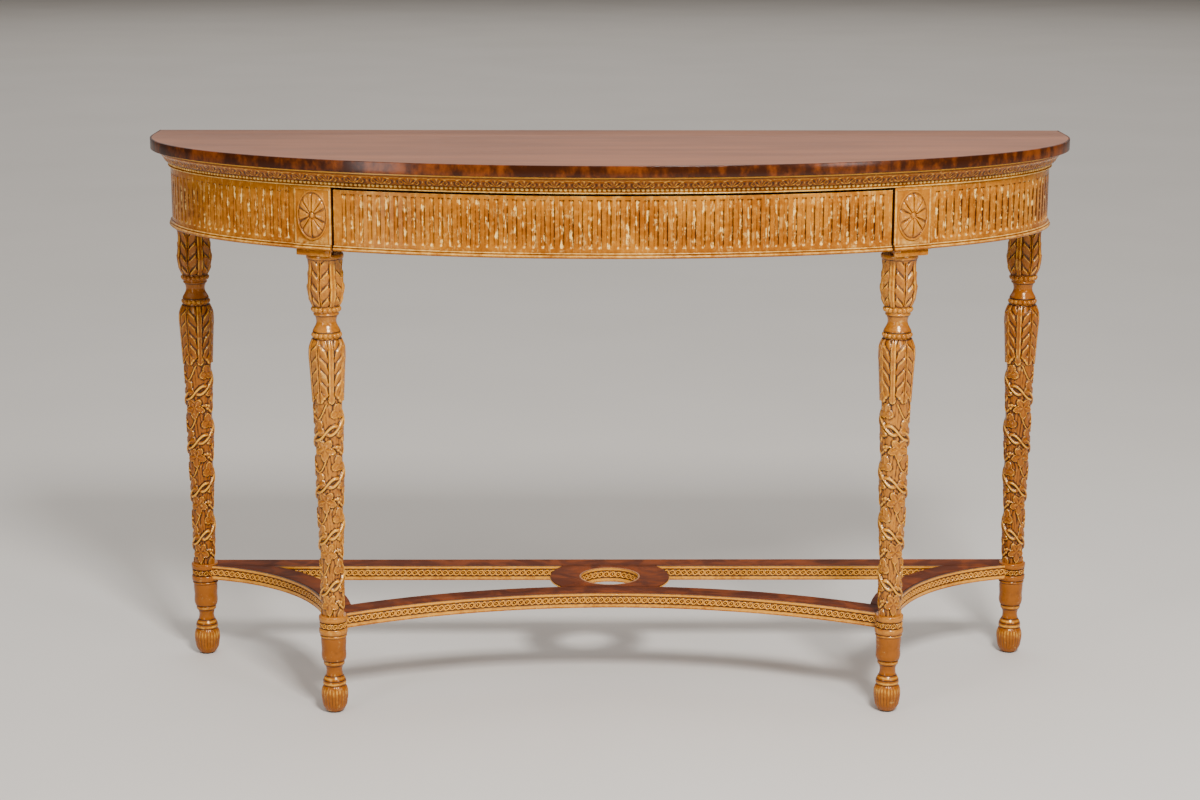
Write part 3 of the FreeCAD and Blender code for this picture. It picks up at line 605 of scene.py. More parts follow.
def d_board(low, high):
    bm = bmesh.new()
    bmesh.ops.create_circle(bm, cap_ends=True, segments=OUTLINE_SEGMENTS, radius=high.x)
    bmesh.ops.scale(bm, vec=(1, (CURVE_Y - low.y) / high.x, 1), verts=bm.verts)
    bmesh.ops.translate(bm, vec=(0, CURVE_Y, low.z), verts=bm.verts)
    everything = bm.verts[:] + bm.edges[:] + bm.faces[:]
    cut = {"plane_co": (0, CURVE_Y, 0), "plane_no": (0, 1, 0), "clear_outer": True}
    bmesh.ops.bisect_plane(bm, geom=everything, dist=SAME_PLACE, **cut)
    back = [edge for edge in bm.edges if all(abs(vert.co.y - CURVE_Y) < SAME_PLACE for vert in edge.verts)]
    for vert in of_kind(BMVert, bmesh.ops.extrude_edge_only(bm, edges=back)["geom"]):
        vert.co.y = high.y
    bmesh.ops.dissolve_faces(bm, faces=bm.faces)
    bmesh.ops.recalc_face_normals(bm, faces=bm.faces)
    for vert in of_kind(BMVert, bmesh.ops.extrude_face_region(bm, geom=bm.faces[:])["geom"]):
        vert.co.z = high.z
    rim = [edge for edge in bm.edges if all(vert.co.z == high.z for vert in edge.verts)]
    bmesh.ops.bevel(bm, geom=rim, offset=TOP_EASE, segments=2, profile=0.5, affect="EDGES", material=-1)
    return bm


board_low, board_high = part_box("top_panel")
add_piece("top_board", d_board(board_low, board_high), top_veneer, ["top_panel"])

# %% [markdown]
# ## Edge of the top
# A thin band of upright veneer pieces lips the board. It is a plain strip whose two long edges are rounded over, so
# that each carries a thin line of light.

# %% Edge of the top
EDGE_ROUND = 1.1
EDGE_COLUMNS = 5 * MM
EDGE_ROW_STEPS = (0, 0.12, 0.35, 0.7, EDGE_ROUND)


def edge_height(along, up):
    """Level across the band, rounded down at its upper and lower edge."""
    past = EDGE_ROUND - np.minimum(up - top_low.z / MM, top_high.z / MM - up)
    past = np.clip(past, 0, EDGE_ROUND)
    return -(EDGE_ROUND - np.sqrt(EDGE_ROUND**2 - past**2))


edge_columns = even_places(-edge_line.end, edge_line.end, EDGE_COLUMNS)
edge_rows = from_ends(top_low.z, top_high.z, EDGE_ROW_STEPS)
edge_band = carved_strip(edge_line, edge_columns, edge_rows, edge_height, top_high.x - board_high.x)
add_piece("top_edge", edge_band, edge_veneer, ["top_edge_band"])

# %% [markdown]
# ## Cornice
# Under the top runs a hollow moulding with a thin fillet along its upper edge. Its face carries a repeated leaf
# ornament in low relief: a fan of lobes between two curled stems, then a bud. All of it is one height function, so
# one period is drawn with a few bumps in its own small coordinates and the remainder of a division repeats it.

# %% Cornice
CORNICE_TOP_INSET = 12.0
CORNICE_WAIST_INSET = 15.0
CORNICE_FOOT_INSET = 24.0
FRIEZE_INSET = 32.0
CORNICE_FILLET = 3.5
CORNICE_HOLLOW = 1.6
MOTIF_PITCH = 44.5
CORNICE_RELIEF = 1.5
CORNICE_COLUMNS = 1.1 * MM
CORNICE_ROWS = 0.9 * MM
CORNICE_TOP_ROWS = (-5.2, -3.5, -3.3, -2.6, -1.2, -0.4, 0)
cornice_low, cornice_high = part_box("cornice_moulding")
cornice_line = ApronLine(CORNICE_FOOT_INSET)
motif_pitch = cornice_line.even_pitch(MOTIF_PITCH)


def bump(distance, width):
    return np.exp(-((distance / width) ** 2))


def from_middle(place, period):
    """Distance from the middle of the nearest of many periods, one of which has its middle at 0."""
    return (place + period / 2) % period - period / 2


def lobes(x, y, count, spread, reach):
    """A fan of rounded lobes over a point, highest along the middle of each lobe."""
    angle = np.arctan2(x, np.maximum(y, 0.01))
    folds = np.abs(np.cos(angle * count / spread * (TAU / 4)))
    rim = reach * (0.72 + 0.28 * folds)
    return np.clip(1.15 - np.hypot(x, y) / rim, 0, 0.45) / 0.45 * (0.35 + 0.65 * folds) * (y > -1)


def cornice_ornament(x, y):
    """One period of leaf carving, x from its middle and y up from the foot of the carved field."""
    fan = lobes(x, y - 0.5, 5, 1.45, 10.5)
    from_curl = np.hypot(np.abs(x) - 12.5, y - 4.6)
    curl = np.maximum(bump(from_curl - 3.0, 0.95), bump(from_curl, 1.2))
    leaf = bump((np.abs(x) - 13.0) + 0.5 * (y - 9.2), 3.2) * bump(y - 9.6, 1.5)
    bud = bump(np.abs(x) - motif_pitch / 2, 2.0) * bump(y - 5.5, 3.6)
    return np.maximum.reduce([fan, 0.8 * curl, 0.75 * leaf, 0.9 * bud])


def cornice_height(along, up):
    foot = cornice_low.z / MM
    top = cornice_high.z / MM
    waist = CORNICE_FOOT_INSET - CORNICE_WAIST_INSET
    edge = CORNICE_FOOT_INSET - CORNICE_TOP_INSET
    levels = [foot, top - 2 * CORNICE_FILLET, top - CORNICE_FILLET, top - CORNICE_FILLET + 0.2, top]
    slope = np.interp(up, levels, [0, waist, waist + 0.6, edge, edge])
    hollow = CORNICE_HOLLOW * np.sin(np.clip((up - foot) / (levels[1] - foot), 0, 1) * TAU / 2)
    y = up - foot - 0.8
    field = np.clip((y - 0.2) / 0.8, 0, 1) * np.clip((12.4 - y) / 0.8, 0, 1)
    return slope - hollow + CORNICE_RELIEF * field * cornice_ornament(from_middle(along, motif_pitch), y)


cornice_columns = even_places(-cornice_line.end, cornice_line.end, CORNICE_COLUMNS)
cornice_rows = even_places(cornice_low.z, cornice_high.z - 2 * CORNICE_FILLET * MM, CORNICE_ROWS)
cornice_rows += stepped(cornice_high.z, CORNICE_TOP_ROWS)
cornice_depth = (FRIEZE_INSET - CORNICE_FOOT_INSET) * MM
cornice = carved_strip(cornice_line, cornice_columns, cornice_rows, cornice_height, cornice_depth)
add_piece("cornice", cornice, gilt_cornice_painted_shade, ["cornice_moulding"])

# %% [markdown]
# ## Bead string
# Below the cornice lies a string of small beads over a thin fillet, with a dark hollow between each pair of beads. At
# well over two hundred beads, separate spheres would cost more faces than they show, so they are rounded bumps of
# one strip.

# %% Bead string
BEAD_STRING_DEPTH = 5.0
BEAD_PITCH = 7.35
COLUMNS_PER_BEAD = 8
BEAD_ROWS = 0.75 * MM
beads_low, beads_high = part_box("bead_string")
bead_line = ApronLine(FRIEZE_INSET - BEAD_STRING_DEPTH)
bead_pitch = bead_line.even_pitch(BEAD_PITCH)


def half_round(distance, radius):
    return np.sqrt(np.clip(1 - (distance / radius) ** 2, 0, 1))


def bead_height(along, up):
    x = from_middle(along, bead_pitch)
    y = up - beads_low.z / MM
    bead = half_round(np.hypot(x / 3.5, (y - 6.4) / 2.7), 1)
    hollow = bump(np.abs(x) - bead_pitch / 2, 1.3) * bump(y - 3.6, 1.1)
    return -3.0 + 2.8 * bead + 2.3 * half_round(y - 1.5, 1.5) - 1.2 * hollow


def bead_level(along, up):
    """Relief of the string: honey beads paler towards their tops, a painted highlight, a pale fillet, rubbed ground
    and painted highlight, and dark between the beads, glaze and painted shade.
    """
    wear_and_painted_light = 0.04 * bump(up - beads_low.z / MM - 1.5, 1.3)
    return np.clip(0.36 + 0.28 * np.sqrt(np.clip(bead_height(along, up) + 3.2, 0, None)) + wear_and_painted_light, 0, 1)


bead_columns = even_places(-bead_line.end, bead_line.end, bead_pitch * MM / COLUMNS_PER_BEAD)
bead_rows = even_places(beads_low.z, beads_high.z, BEAD_ROWS)
beads = carved_strip(bead_line, bead_columns, bead_rows, bead_height, BEAD_STRING_DEPTH * MM, bead_level)
add_piece("bead_string_carved", beads, gilt_apron, ["bead_string"])

# %% [markdown]
# ## Fluted friezes and drawer front
# The frieze is a row of upright grooves with round ends. Cutting a hundred grooves with booleans is slow and leaves
# ragged meshes. Here the columns of the grid are set where a groove needs them, close together at its edges and wide
# apart on the flat between two grooves, and every point is sunk to the depth of a round-ended rod. The drawer front
# is a little smaller than its opening, which leaves a dark gap round it.

# %% Fluted friezes and drawer front
FLUTE_WIDTH = 7.0
FLUTE_DEPTH = 2.6
FLUTE_FOOT = 783.2
FLUTE_HEAD = 858.2
FLUTE_COLUMN_SHARES = (-1.3, -1.0, -0.93, -0.75, -0.4, 0.0, 0.4, 0.75, 0.93, 1.0, 1.3)
FLUTE_END_STEPS = (-0.4, 0.0, 0.25, 0.6, 1.1, 1.8, 2.6, 3.6, 5.0)
FLUTE_MIDDLE_ROWS = (800.0, 820.0, 840.0)
HOLLOW_STREAKS = 0.95
FLAT_STREAKS = 0.16
PANEL_DEPTH = 14.0 * MM
frieze_line = ApronLine(FRIEZE_INSET)
flute_radius = (FLUTE_WIDTH**2 / 4 + FLUTE_DEPTH**2) / (2 * FLUTE_DEPTH)
flute_reach = flute_radius - (flute_radius - FLUTE_DEPTH) * 0.2


class FluteRow:
    """Evenly spaced flutes whose first and last middle are places along the line in metres."""

    def __init__(self, first, last, pitch):
        self.middles = np.linspace(first, last, round((last - first) / MM / pitch) + 1) / MM
        self.pitch = self.middles[1] - self.middles[0]

    def beside(self, along):
        """Distance from the middle of the nearest flute."""
        number = np.clip(np.round((along - self.middles[0]) / self.pitch), 0, len(self.middles) - 1)
        return along - self.middles[0] - number * self.pitch

    def height(self, along, up):
        y = up - np.clip(up, FLUTE_FOOT + flute_reach, FLUTE_HEAD - flute_reach)
        rod = np.sqrt(np.clip(flute_radius**2 - self.beside(along) ** 2 - y**2, 0, None))
        return -np.clip(rod - (flute_radius - FLUTE_DEPTH), 0, None)

    def level(self, along, up):
        """Relief of the flutes: the edges of each hollow, darker on the right, and a line under its head are painted
        shade over glaze; the left of the hollow and both ends are paler, painted highlight over rubbed ground; the
        flat above the heads is paler.
        """
        x = self.beside(along) / (FLUTE_WIDTH / 2)
        inside = (np.abs(x) < 1.05) & (up > FLUTE_FOOT - 0.1) & (up < FLUTE_HEAD + 0.1)
        ends = 0.30 * bump(up - FLUTE_FOOT - 1.0, 3.4) + 0.26 * bump(FLUTE_HEAD - up - 4.4, 2.2)
        lines = 0.16 * bump(x + 0.92, 0.14) + 0.26 * bump(x - 0.86, 0.2) + 0.18 * bump(FLUTE_HEAD - up - 0.6, 1.2)
        hollow = 0.38 + 0.20 * bump(x + 0.1, 0.45) + ends - lines
        return np.where(inside, hollow, 0.52 + 0.20 * (up > FLUTE_HEAD + 3.2))

    def streaks(self, along, up):
        """Where rubbing left upright streaks: freely in the hollows, seldom on the flats."""
        inside = np.abs(self.beside(along)) < 0.9 * FLUTE_WIDTH / 2
        return np.where(inside & (up > FLUTE_FOOT) & (up < FLUTE_HEAD), HOLLOW_STREAKS, FLAT_STREAKS)

    def columns(self, low, high):
        edges = [(middle + share * FLUTE_WIDTH / 2) * MM for middle in self.middles for share in FLUTE_COLUMN_SHARES]
        return [low] + [edge for edge in edges if low < edge < high] + [high]


def fluted_panel(node, low, high, flutes, body="table", air=0.0, end_relief=END_RELIEF):
    """A fluted stretch of the apron between two places along the line, with some air above it."""
    box_low, box_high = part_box(node)
    rows = from_ends(FLUTE_FOOT * MM, FLUTE_HEAD * MM, FLUTE_END_STEPS) + stepped(0, FLUTE_MIDDLE_ROWS)
    rows = [box_low.z] + sorted(rows) + [box_high.z - air]
    columns = flutes.columns(low, high)
    finish = (flutes.level, flutes.streaks, end_relief)
    panel = carved_strip(frieze_line, columns, rows, flutes.height, PANEL_DEPTH, *finish)
    add_piece(node + "_fluted", panel, gilt_apron, [node], body=body)


# %% Drawer front and friezes
DRAWER_AIR = 1.5 * MM
DRAWER_FLUTE_MARGIN = 18.3 * MM
DRAWER_FLUTE_PITCH = 14.36
FRIEZE_FLUTE_MARGINS = (10.7 * MM, 9.0 * MM)
FRIEZE_FLUTE_PITCH = 15.3
block_low, block_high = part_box("front_block_right")
drawer_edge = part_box("drawer_front")[1].x
drawer_half = frieze_line.along_at(drawer_edge) - DRAWER_AIR
drawer_first = frieze_line.along_at(-drawer_edge + DRAWER_FLUTE_MARGIN)
drawer_flutes = FluteRow(drawer_first, -drawer_first, DRAWER_FLUTE_PITCH)
# The drawer front's end faces are painted dark: painted shade that deepens the gap round it.
fluted_panel("drawer_front", -drawer_half, drawer_half, drawer_flutes, "drawer", DRAWER_AIR, BACK_PAINTED_SHADE)
frieze_from = frieze_line.along_at(block_high.x)
frieze_first = frieze_line.along_at(block_high.x + FRIEZE_FLUTE_MARGINS[0])
frieze_last = frieze_line.end - FRIEZE_FLUTE_MARGINS[1]
for side, way in SIDES.items():
    flutes = FluteRow(*mirrored(way, frieze_first, frieze_last), FRIEZE_FLUTE_PITCH)
    fluted_panel("frieze_" + side, *mirrored(way, frieze_from, frieze_line.end), flutes)

# %% [markdown]
# ## Base mouldings
# A small bead over a larger half-round closes the apron below. The moulding steps forward round each block, so a side
# moulding is two strips, one on the line of the frieze and one on the line of the block, joined in one mesh. The
# drawer carries its own stretch and takes it along when it opens.

# %% Base mouldings
BLOCK_INSET = 30.0
BASE_DEPTH = 1.0 * MM
BASE_COLUMNS = 4 * MM
BASE_ROWS = 0.5 * MM
block_line = ApronLine(BLOCK_INSET)
block_ends = (block_line.along_at(block_low.x), block_line.along_at(block_high.x))
base_low, base_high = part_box("drawer_base_moulding")


def base_height(along, up):
    y = up - base_low.z / MM
    return np.where(y < 6.2, 5.0 * half_round(y - 3.2, 3.2), 1.0 + 2.2 * half_round(y - 8.1, 1.4))


def base_level(along, up):
    """Relief of the moulding: pale crests on the bead and the roll, rubbed ground and painted highlight, with dark
    lines between them and at its foot, glaze and painted shade.
    """
    y = up - base_low.z / MM
    wear_and_painted_light = 0.56 + 0.26 * bump(y - 8.3, 1.2) + 0.22 * bump(y - 4.4, 1.5)
    return wear_and_painted_light - 0.30 * bump(y - 6.4, 0.45) - 0.30 * bump(y, 0.6)


def base_strip(line, low, high):
    columns = even_places(low, high, BASE_COLUMNS)
    rows = even_places(base_low.z, base_high.z, BASE_ROWS)
    return carved_strip(line, columns, rows, base_height, BASE_DEPTH, base_level)


drawer_base = base_strip(frieze_line, -drawer_half, drawer_half)
add_piece("drawer_base_carved", drawer_base, gilt_apron, ["drawer_base_moulding"], body="drawer")
for side, way in SIDES.items():
    along_frieze = base_strip(frieze_line, *mirrored(way, frieze_from, frieze_line.end))
    along_block = base_strip(block_line, *mirrored(way, *block_ends))
    base = joined([along_frieze, along_block])
    add_piece("base_" + side + "_carved", base, gilt_apron, ["base_moulding_" + side])

# %% [markdown]
# ## Blocks
# The drawer stands between two blocks, which the front legs are doweled into. Each has a slightly sunk face with a
# thin raised border. A block is one more strip, only a deep one: its back is drawn in by the block's whole depth.

# %% Blocks
BLOCK_DEPTH = 64.0
BLOCK_BORDER = 3.4
BLOCK_SINK = 0.8
BLOCK_EDGE_STEPS = (0, 0.3, 0.7, BLOCK_BORDER, BLOCK_BORDER + 0.5)
BLOCK_TOP_ROWS = (-5.0, -0.2, 0)
BLOCK_MARGIN = 8 * MM
block_face_top = beads_low.z / MM


def panelled_block(name, node, low, high):
    def height(along, up):
        side = np.minimum(along - low / MM, high / MM - along)
        step = np.clip((side - BLOCK_BORDER) / 0.5, 0, 1) * np.clip((block_face_top - 5 - up) / 0.5, 0, 1)
        rounding = 0.7 * np.clip(1 - side / 0.7, 0, 1) ** 2
        return np.where(up > block_face_top - 0.1, -2.6, -BLOCK_SINK * step - rounding)

    def level(along, up):
        """Relief: hardly rubbed above the border and paler towards the foot."""
        rubbed = 0.10 + 0.16 * bump(up - base_high.z / MM, 16.0)
        most = np.where(up > block_face_top - 4, 0.60, 0.75)
        return np.minimum(relief_level(height, along, up) + rubbed, most)

    edges = from_ends(low, high, BLOCK_EDGE_STEPS)
    columns = sorted(edges + even_places(low + BLOCK_MARGIN, high - BLOCK_MARGIN, 5 * MM))
    rows = even_places(block_low.z, (block_face_top - 5.5) * MM, 4 * MM)
    rows += stepped(beads_low.z, BLOCK_TOP_ROWS) + [block_high.z]
    # The block's end faces are painted dark: painted shade where it meets the drawer and the frieze.
    block = carved_strip(block_line, columns, rows, height, BLOCK_DEPTH * MM, level, end_relief=BACK_PAINTED_SHADE)
    add_piece(name, block, gilt_apron, [node])


for side, way in SIDES.items():
    panelled_block("front_block_" + side + "_panelled", "front_block_" + side, *mirrored(way, *block_ends))

# %% [markdown]
# ## Turnings
# Legs, collars, feet and the oval rosettes all start on a lathe. Spin is that lathe: it carries an outline of points
# round an axis, and `use_merge` joins the last copy to the first. The outline is drawn as short stretches, each a
# smooth curve, with sharp corners where two stretches meet.

# %% Turnings
FEW_POINTS = 4
CORE_RADIUS = 5


def lathe(outline, steps):
    """Spins an outline of (radius, height) points about the Z axis."""
    bm = bmesh.new()
    verts = [bm.verts.new((radius, 0, height)) for radius, height in outline]
    edges = [bm.edges.new(pair) for pair in zip(verts, verts[1:])]
    bmesh.ops.spin(bm, geom=verts + edges, axis=(0, 0, 1), angle=TAU, steps=steps, use_merge=True)
    bmesh.ops.remove_doubles(bm, verts=bm.verts, dist=MM / 1000)
    return bm


def smooth_stretch(knots, spacing):
    """Radius and height along a smooth curve through (height, radius) points, at an even spacing in height."""
    heights, radii = np.array(knots, float).T
    slopes = np.gradient(radii, heights)
    fine = np.array(even_places(heights[0], heights[-1], spacing))
    number = np.clip(np.searchsorted(heights, fine, "right") - 1, 0, len(heights) - 2)
    span = heights[number + 1] - heights[number]
    t = (fine - heights[number]) / span
    start = radii[number] * (1 + 2 * t) * (1 - t) ** 2 + slopes[number] * span * t * (1 - t) ** 2
    end = radii[number + 1] * t**2 * (3 - 2 * t) - slopes[number + 1] * span * t**2 * (1 - t)
    return [(radius * MM, height * MM) for radius, height in zip(start + end, fine)]


def turned_outline(stretches, spacing, few_spacing):
    """A closed outline of smooth stretches; those of few points have a spacing of their own."""
    outline = [(0, stretches[0][0][0] * MM)]
    for knots in stretches:
        outline += smooth_stretch(knots, spacing if len(knots) > FEW_POINTS else few_spacing)
    return outline + [(0, outline[-1][1])]


def swell(bm, growth, middle):
    """Moves each point of a turning away from the axis by a factor and sets the turning in place."""
    for vert, factor in zip(bm.verts, growth):
        vert.co.x = vert.co.x * factor + middle.x
        vert.co.y = vert.co.y * factor + middle.y


def carve_turning(bm, height, middle, wear_with_painted_light, hand):
    """Raises a pattern on a turning, mirrored where hand is -1; pale and dark lines by the height up, partly painted
    highlight and painted shade, are added to its relief.
    """
    x, y, z = points(bm).T
    radius = np.hypot(x, y)
    angle = hand * np.arctan2(x, -y)
    up = z / MM
    level = relief_level(height, angle, up, 1 / np.maximum(radius / MM, CORE_RADIUS))
    note(bm, "relief", np.clip(level + wear_with_painted_light(up), 0, 1))
    lift = height(angle, up) * MM * (radius > CORE_RADIUS * MM)
    swell(bm, 1 + lift / np.maximum(radius, MM), middle)


def fold(angle, count, start=0.0):
    """Where an angle lies between evenly spaced lines: 0 on a line, -1 and 1 half way to the next."""
    return from_middle(angle - start, TAU / count) / (TAU / count / 2)


def lines_at(places, up, width):
    return sum(bump(up - place, width) for place in places)


# %% [markdown]
# ## Oval rosettes
# Each block carries an oval rosette in a thin rim: a pair of broad petals above and below, small ones at the sides,
# slim ribs on the diagonals and a boss. A unit disc is spun, its points are raised by their distance and angle from
# the middle, and the disc is stretched to the oval and bent onto the block. The four quarters are alike, so the angle
# is folded into one of them.

# %% Oval rosettes
ROSETTE_RINGS = 30
ROSETTE_STEPS = 180
ROSETTE_SEAT = 1.2
ROSETTE_HALF_WIDTH = 27.5 * MM
ROSETTE_HEIGHT_SHARE = 1.03
# For each petal: its angle from upright, half its width, both in degrees, its height and where it starts.
ROSETTE_PETALS = ((24, 21, 4.4, 0.12), (58, 9.5, 3.6, 0.16), (90, 15, 3.6, 0.20))


def rosette_petals(angle, distance):
    turned = np.degrees(np.arccos(np.clip(np.abs(np.sin(angle)), 0, 1)))
    tip = np.sqrt(np.clip((0.86 - distance) / 0.12, 0, 1))
    level = np.zeros_like(distance)
    for place, half_width, lift, start in ROSETTE_PETALS:
        petal = lift * half_round(turned - place, half_width) ** 0.6 * np.clip((distance - start) / 0.08, 0, 1) * tip
        scoop = half_width / 36 * bump(turned - place, 0.5 * half_width) * np.clip((distance - 0.3) / 0.3, 0, 1)
        level = np.maximum(level, petal * (1 - scoop))
    return level


def rosette_height(angle, distance):
    rim = 1.5 * half_round(distance - 0.95, 0.05)
    boss = 3.4 * half_round(distance, 0.13)
    return 0.4 + np.maximum.reduce([rosette_petals(angle, distance), rim, boss])


def rosette(name, node, along):
    """A rosette dark between the petals and inside the rim, glaze and painted shade, and pale on its crests and rim,
    rubbing and painted highlight.
    """
    low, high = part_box(node)
    middle = (low.z + high.z) / 2
    half_tall = ROSETTE_HEIGHT_SHARE * (high.z - low.z) / 2
    rings = [(step / ROSETTE_RINGS, 1.0) for step in range(ROSETTE_RINGS + 1)]
    bm = lathe(rings + [(1.0, 0.0), (0.0, 0.0)], ROSETTE_STEPS)
    x, y, _ = points(bm).T
    distance = np.hypot(x, y)
    height = rosette_height(np.arctan2(y, x), distance)
    crests = np.clip(height / 3.6, 0, 1)
    note(bm, "relief", np.clip(0.84 * crests**0.45 - 0.07 + 0.16 * (distance > 0.91), 0, 1))
    for vert, lift in zip(bm.verts, height):
        depth = -lift * MM if vert.co.z > 0.5 else ROSETTE_SEAT * MM
        vert.co = Vector((along + vert.co.x * ROSETTE_HALF_WIDTH, depth, middle + vert.co.y * half_tall))
    bend(bm, block_line)
    add_piece(name, bm, gilt_leaves, [node])


block_middle = block_line.along_at((block_low.x + block_high.x) / 2)
for side, way in SIDES.items():
    rosette("rosette_" + side, "patera_" + side, way * block_middle)

# %% [markdown]
# ## Leaves and vine for the legs
# A carver works on a turned leg in bands. The vase at the top is wrapped in upright leaves, the swelling below the
# neck in hanging ones, and the long shaft in a pair of twisted vines with ivy leaves. Each band is a height function
# of the angle round the leg and the height up it. Modelling leaf by leaf would be freer, but a function repeats
# exactly, as a copied turning does, and can be mirrored for the other side of the table.

# %% Leaves round a turning
LEAVES = 4
LEAF_HALF_PITCH = 22.0
LEAF_HALF_WIDTH = 18.0
STRIP_HALF_WIDTH = 4.2
TIP_HALF_WIDTH = 8.2
TIP_LENGTH = 15.0


def leaf_carving(angle, rise, start, slope, pitch, tipped):
    """Four broad leaves round a turning and a slim one between each two, as a depth below the turning.

    A leaf is two rows of scoops that leave the midrib every pitch and climb by slope, each deepest over the crest of
    the one below. Leaves that are tipped are flatter and narrow to round tongues at the foot of the band."""
    side = np.abs(fold(angle, LEAVES, start)) * LEAF_HALF_PITCH
    step = (rise - slope * side) / pitch
    share = step % 1
    lobe = 1 - 1.3 * np.minimum(share / 0.16, 1) * (1 - share) ** 1.2
    half_width = LEAF_HALF_WIDTH - 3.4 * np.abs(np.cos(step * TAU / 2)) ** 1.5
    strip = np.full_like(side, STRIP_HALF_WIDTH)
    if tipped:
        narrow = np.clip(1 - rise / TIP_LENGTH, 0, 1) ** 0.7
        tongue = TIP_HALF_WIDTH * half_round(np.clip(TIP_HALF_WIDTH - rise, 0, TIP_HALF_WIDTH), TIP_HALF_WIDTH)
        half_width = np.minimum(half_width, half_width + (TIP_HALF_WIDTH - half_width) * narrow)
        half_width = np.where(rise < TIP_HALF_WIDTH, tongue, half_width)
        strip = strip + (TIP_HALF_WIDTH - 1 - strip) * narrow
        strip = np.where(rise < TIP_HALF_WIDTH, 0.85 * tongue, strip)
        lobe = 1 - 0.8 * (1 - lobe) * np.clip(rise / 10 - 1.0, 0, 1)
    rim = half_round(np.clip(side - half_width + 4, 0, 4), 4) ** 0.7
    midrib = bump(side - 1.9, 1.1)
    blade = -2.8 + 2.7 * np.maximum(lobe * rim * np.clip((side - 1.0) / 3, 0.25, 1), 0.9 * midrib)
    blade = np.where(side < half_width, blade, -3.0)
    across = LEAF_HALF_PITCH - side
    slim = -0.5 * (across / STRIP_HALF_WIDTH) ** 2 - 0.7 * bump(across, 0.8)
    return np.where(across < strip, np.maximum(slim, -1.2), blade)


# %% Twisted vine and tendril
SHAFT_RADIUS = 23.0
VINE_PITCH = 86.0
VINE_CROSSING = 472.0
VINE_SWING = 5.2
VINE_RADIUS = 2.6
VINE_WAVES = 3
VINE_START = 0.5
VINE_LEVELLING = 0.30
TENDRIL_SWING = 13.0
TENDRIL_START = 0.4
TENDRIL_RADIUS = 1.7


def off_winding(turns):
    """Distance up or down from the nearest turn of something that winds round the shaft."""
    return (turns - np.round(turns)) * VINE_PITCH


def vine_level(angle, up):
    """Height of the nearest of two strands that wind round the shaft and cross each other, from 0 to about 1."""
    climb = math.hypot(1, VINE_PITCH / TAU / SHAFT_RADIUS)
    turned = (angle - VINE_LEVELLING * np.sin(angle)) / TAU
    off = off_winding((up - VINE_CROSSING) / VINE_PITCH - turned) / climb
    wave = VINE_WAVES * angle + VINE_START
    swing = VINE_SWING * np.sin(wave)
    lean = np.hypot(1, VINE_SWING * VINE_WAVES / SHAFT_RADIUS / climb * np.cos(wave))
    over = 0.20 * np.cos(wave)
    upper = half_round((off - swing) / lean, VINE_RADIUS) * (1 + over)
    lower = half_round((off + swing) / lean, VINE_RADIUS) * (1 - over)
    return np.maximum(upper, lower)


def tendril_level(angle, up):
    """A thin stem that swings between one turn of the vine and the next."""
    off = off_winding((up - VINE_CROSSING) / VINE_PITCH - angle / TAU - 0.5)
    wave = VINE_WAVES * angle + TENDRIL_START
    lean = np.hypot(1, TENDRIL_SWING * VINE_WAVES / SHAFT_RADIUS * np.cos(wave))
    return half_round((off - TENDRIL_SWING * np.sin(wave)) / lean, TENDRIL_RADIUS)


# %% Ivy leaves, berries and bark
IVY_SIZE = 42.0
IVY_PER_TURN = 3
IVY_SHIFT = -0.12
BERRY_RADIUS = 3.0
BERRY_PLACES = ((0.0, 0.0), (5.2, 1.6), (1.8, 5.4))
BARK_FACETS = 12


def ivy_leaf(x, y, size, lobe_count):
    """A leaf with its stem at the origin: 0 outside, about 1 over its domed lobes, creased between them."""
    x = x / size
    y = y / size - 0.44
    angle = np.arctan2(x, y)
    distance = np.hypot(x, y)
    lobe = np.abs(fold(angle, lobe_count))
    rim = 0.27 + 0.24 * (1 - lobe**1.3) * (0.86 + 0.14 * np.cos(angle))
    edge = np.clip((rim - distance) / 0.05, 0, 1)
    vein = bump(lobe * distance, 0.035) * (distance > 0.06)
    border = bump(rim - 0.05 - distance, 0.04)
    dome = 0.78 - 0.30 * lobe - 0.25 * distance
    return edge**0.6 * np.maximum(dome, 0.95 * np.maximum(0.9 * vein, border))


def berries(x, y):
    """Three small berries in a cluster."""
    each = [half_round(np.hypot(x - off_x, y - off_y), BERRY_RADIUS) for off_x, off_y in BERRY_PLACES]
    return np.maximum.reduce(each)


def around_leg(angle, place):
    """Distance round the shaft from a place on it, in millimetres."""
    return SHAFT_RADIUS * from_middle(angle - place, TAU)


def ivy_level(angle, up):
    """Leaves that hang from the vine, smaller ones that stand over it, and berries beside them."""
    level = np.zeros_like(angle)
    for number in range(-2 * IVY_PER_TURN, 5 * IVY_PER_TURN):
        place = number * TAU / IVY_PER_TURN + IVY_SHIFT
        stem = VINE_CROSSING - VINE_PITCH * 4 + VINE_PITCH * place / TAU
        near = np.abs(up - stem) < 1.3 * IVY_SIZE
        y = stem - up[near]
        lean = 0.35 * math.sin(2.1 * number) * y
        hanging = ivy_leaf(around_leg(angle[near], place) + lean + 2.0, y - 7.0, IVY_SIZE, 5)
        beside = around_leg(angle[near], place + TAU / 6.5)
        standing = 0.9 * ivy_leaf(beside - lean, -y - 20.0, 0.78 * IVY_SIZE, 3)
        cluster = 0.85 * berries(around_leg(angle[near], place + TAU / 7.5), y - 22.0)
        level[near] = np.maximum.reduce([level[near], hanging, standing, cluster])
    return level


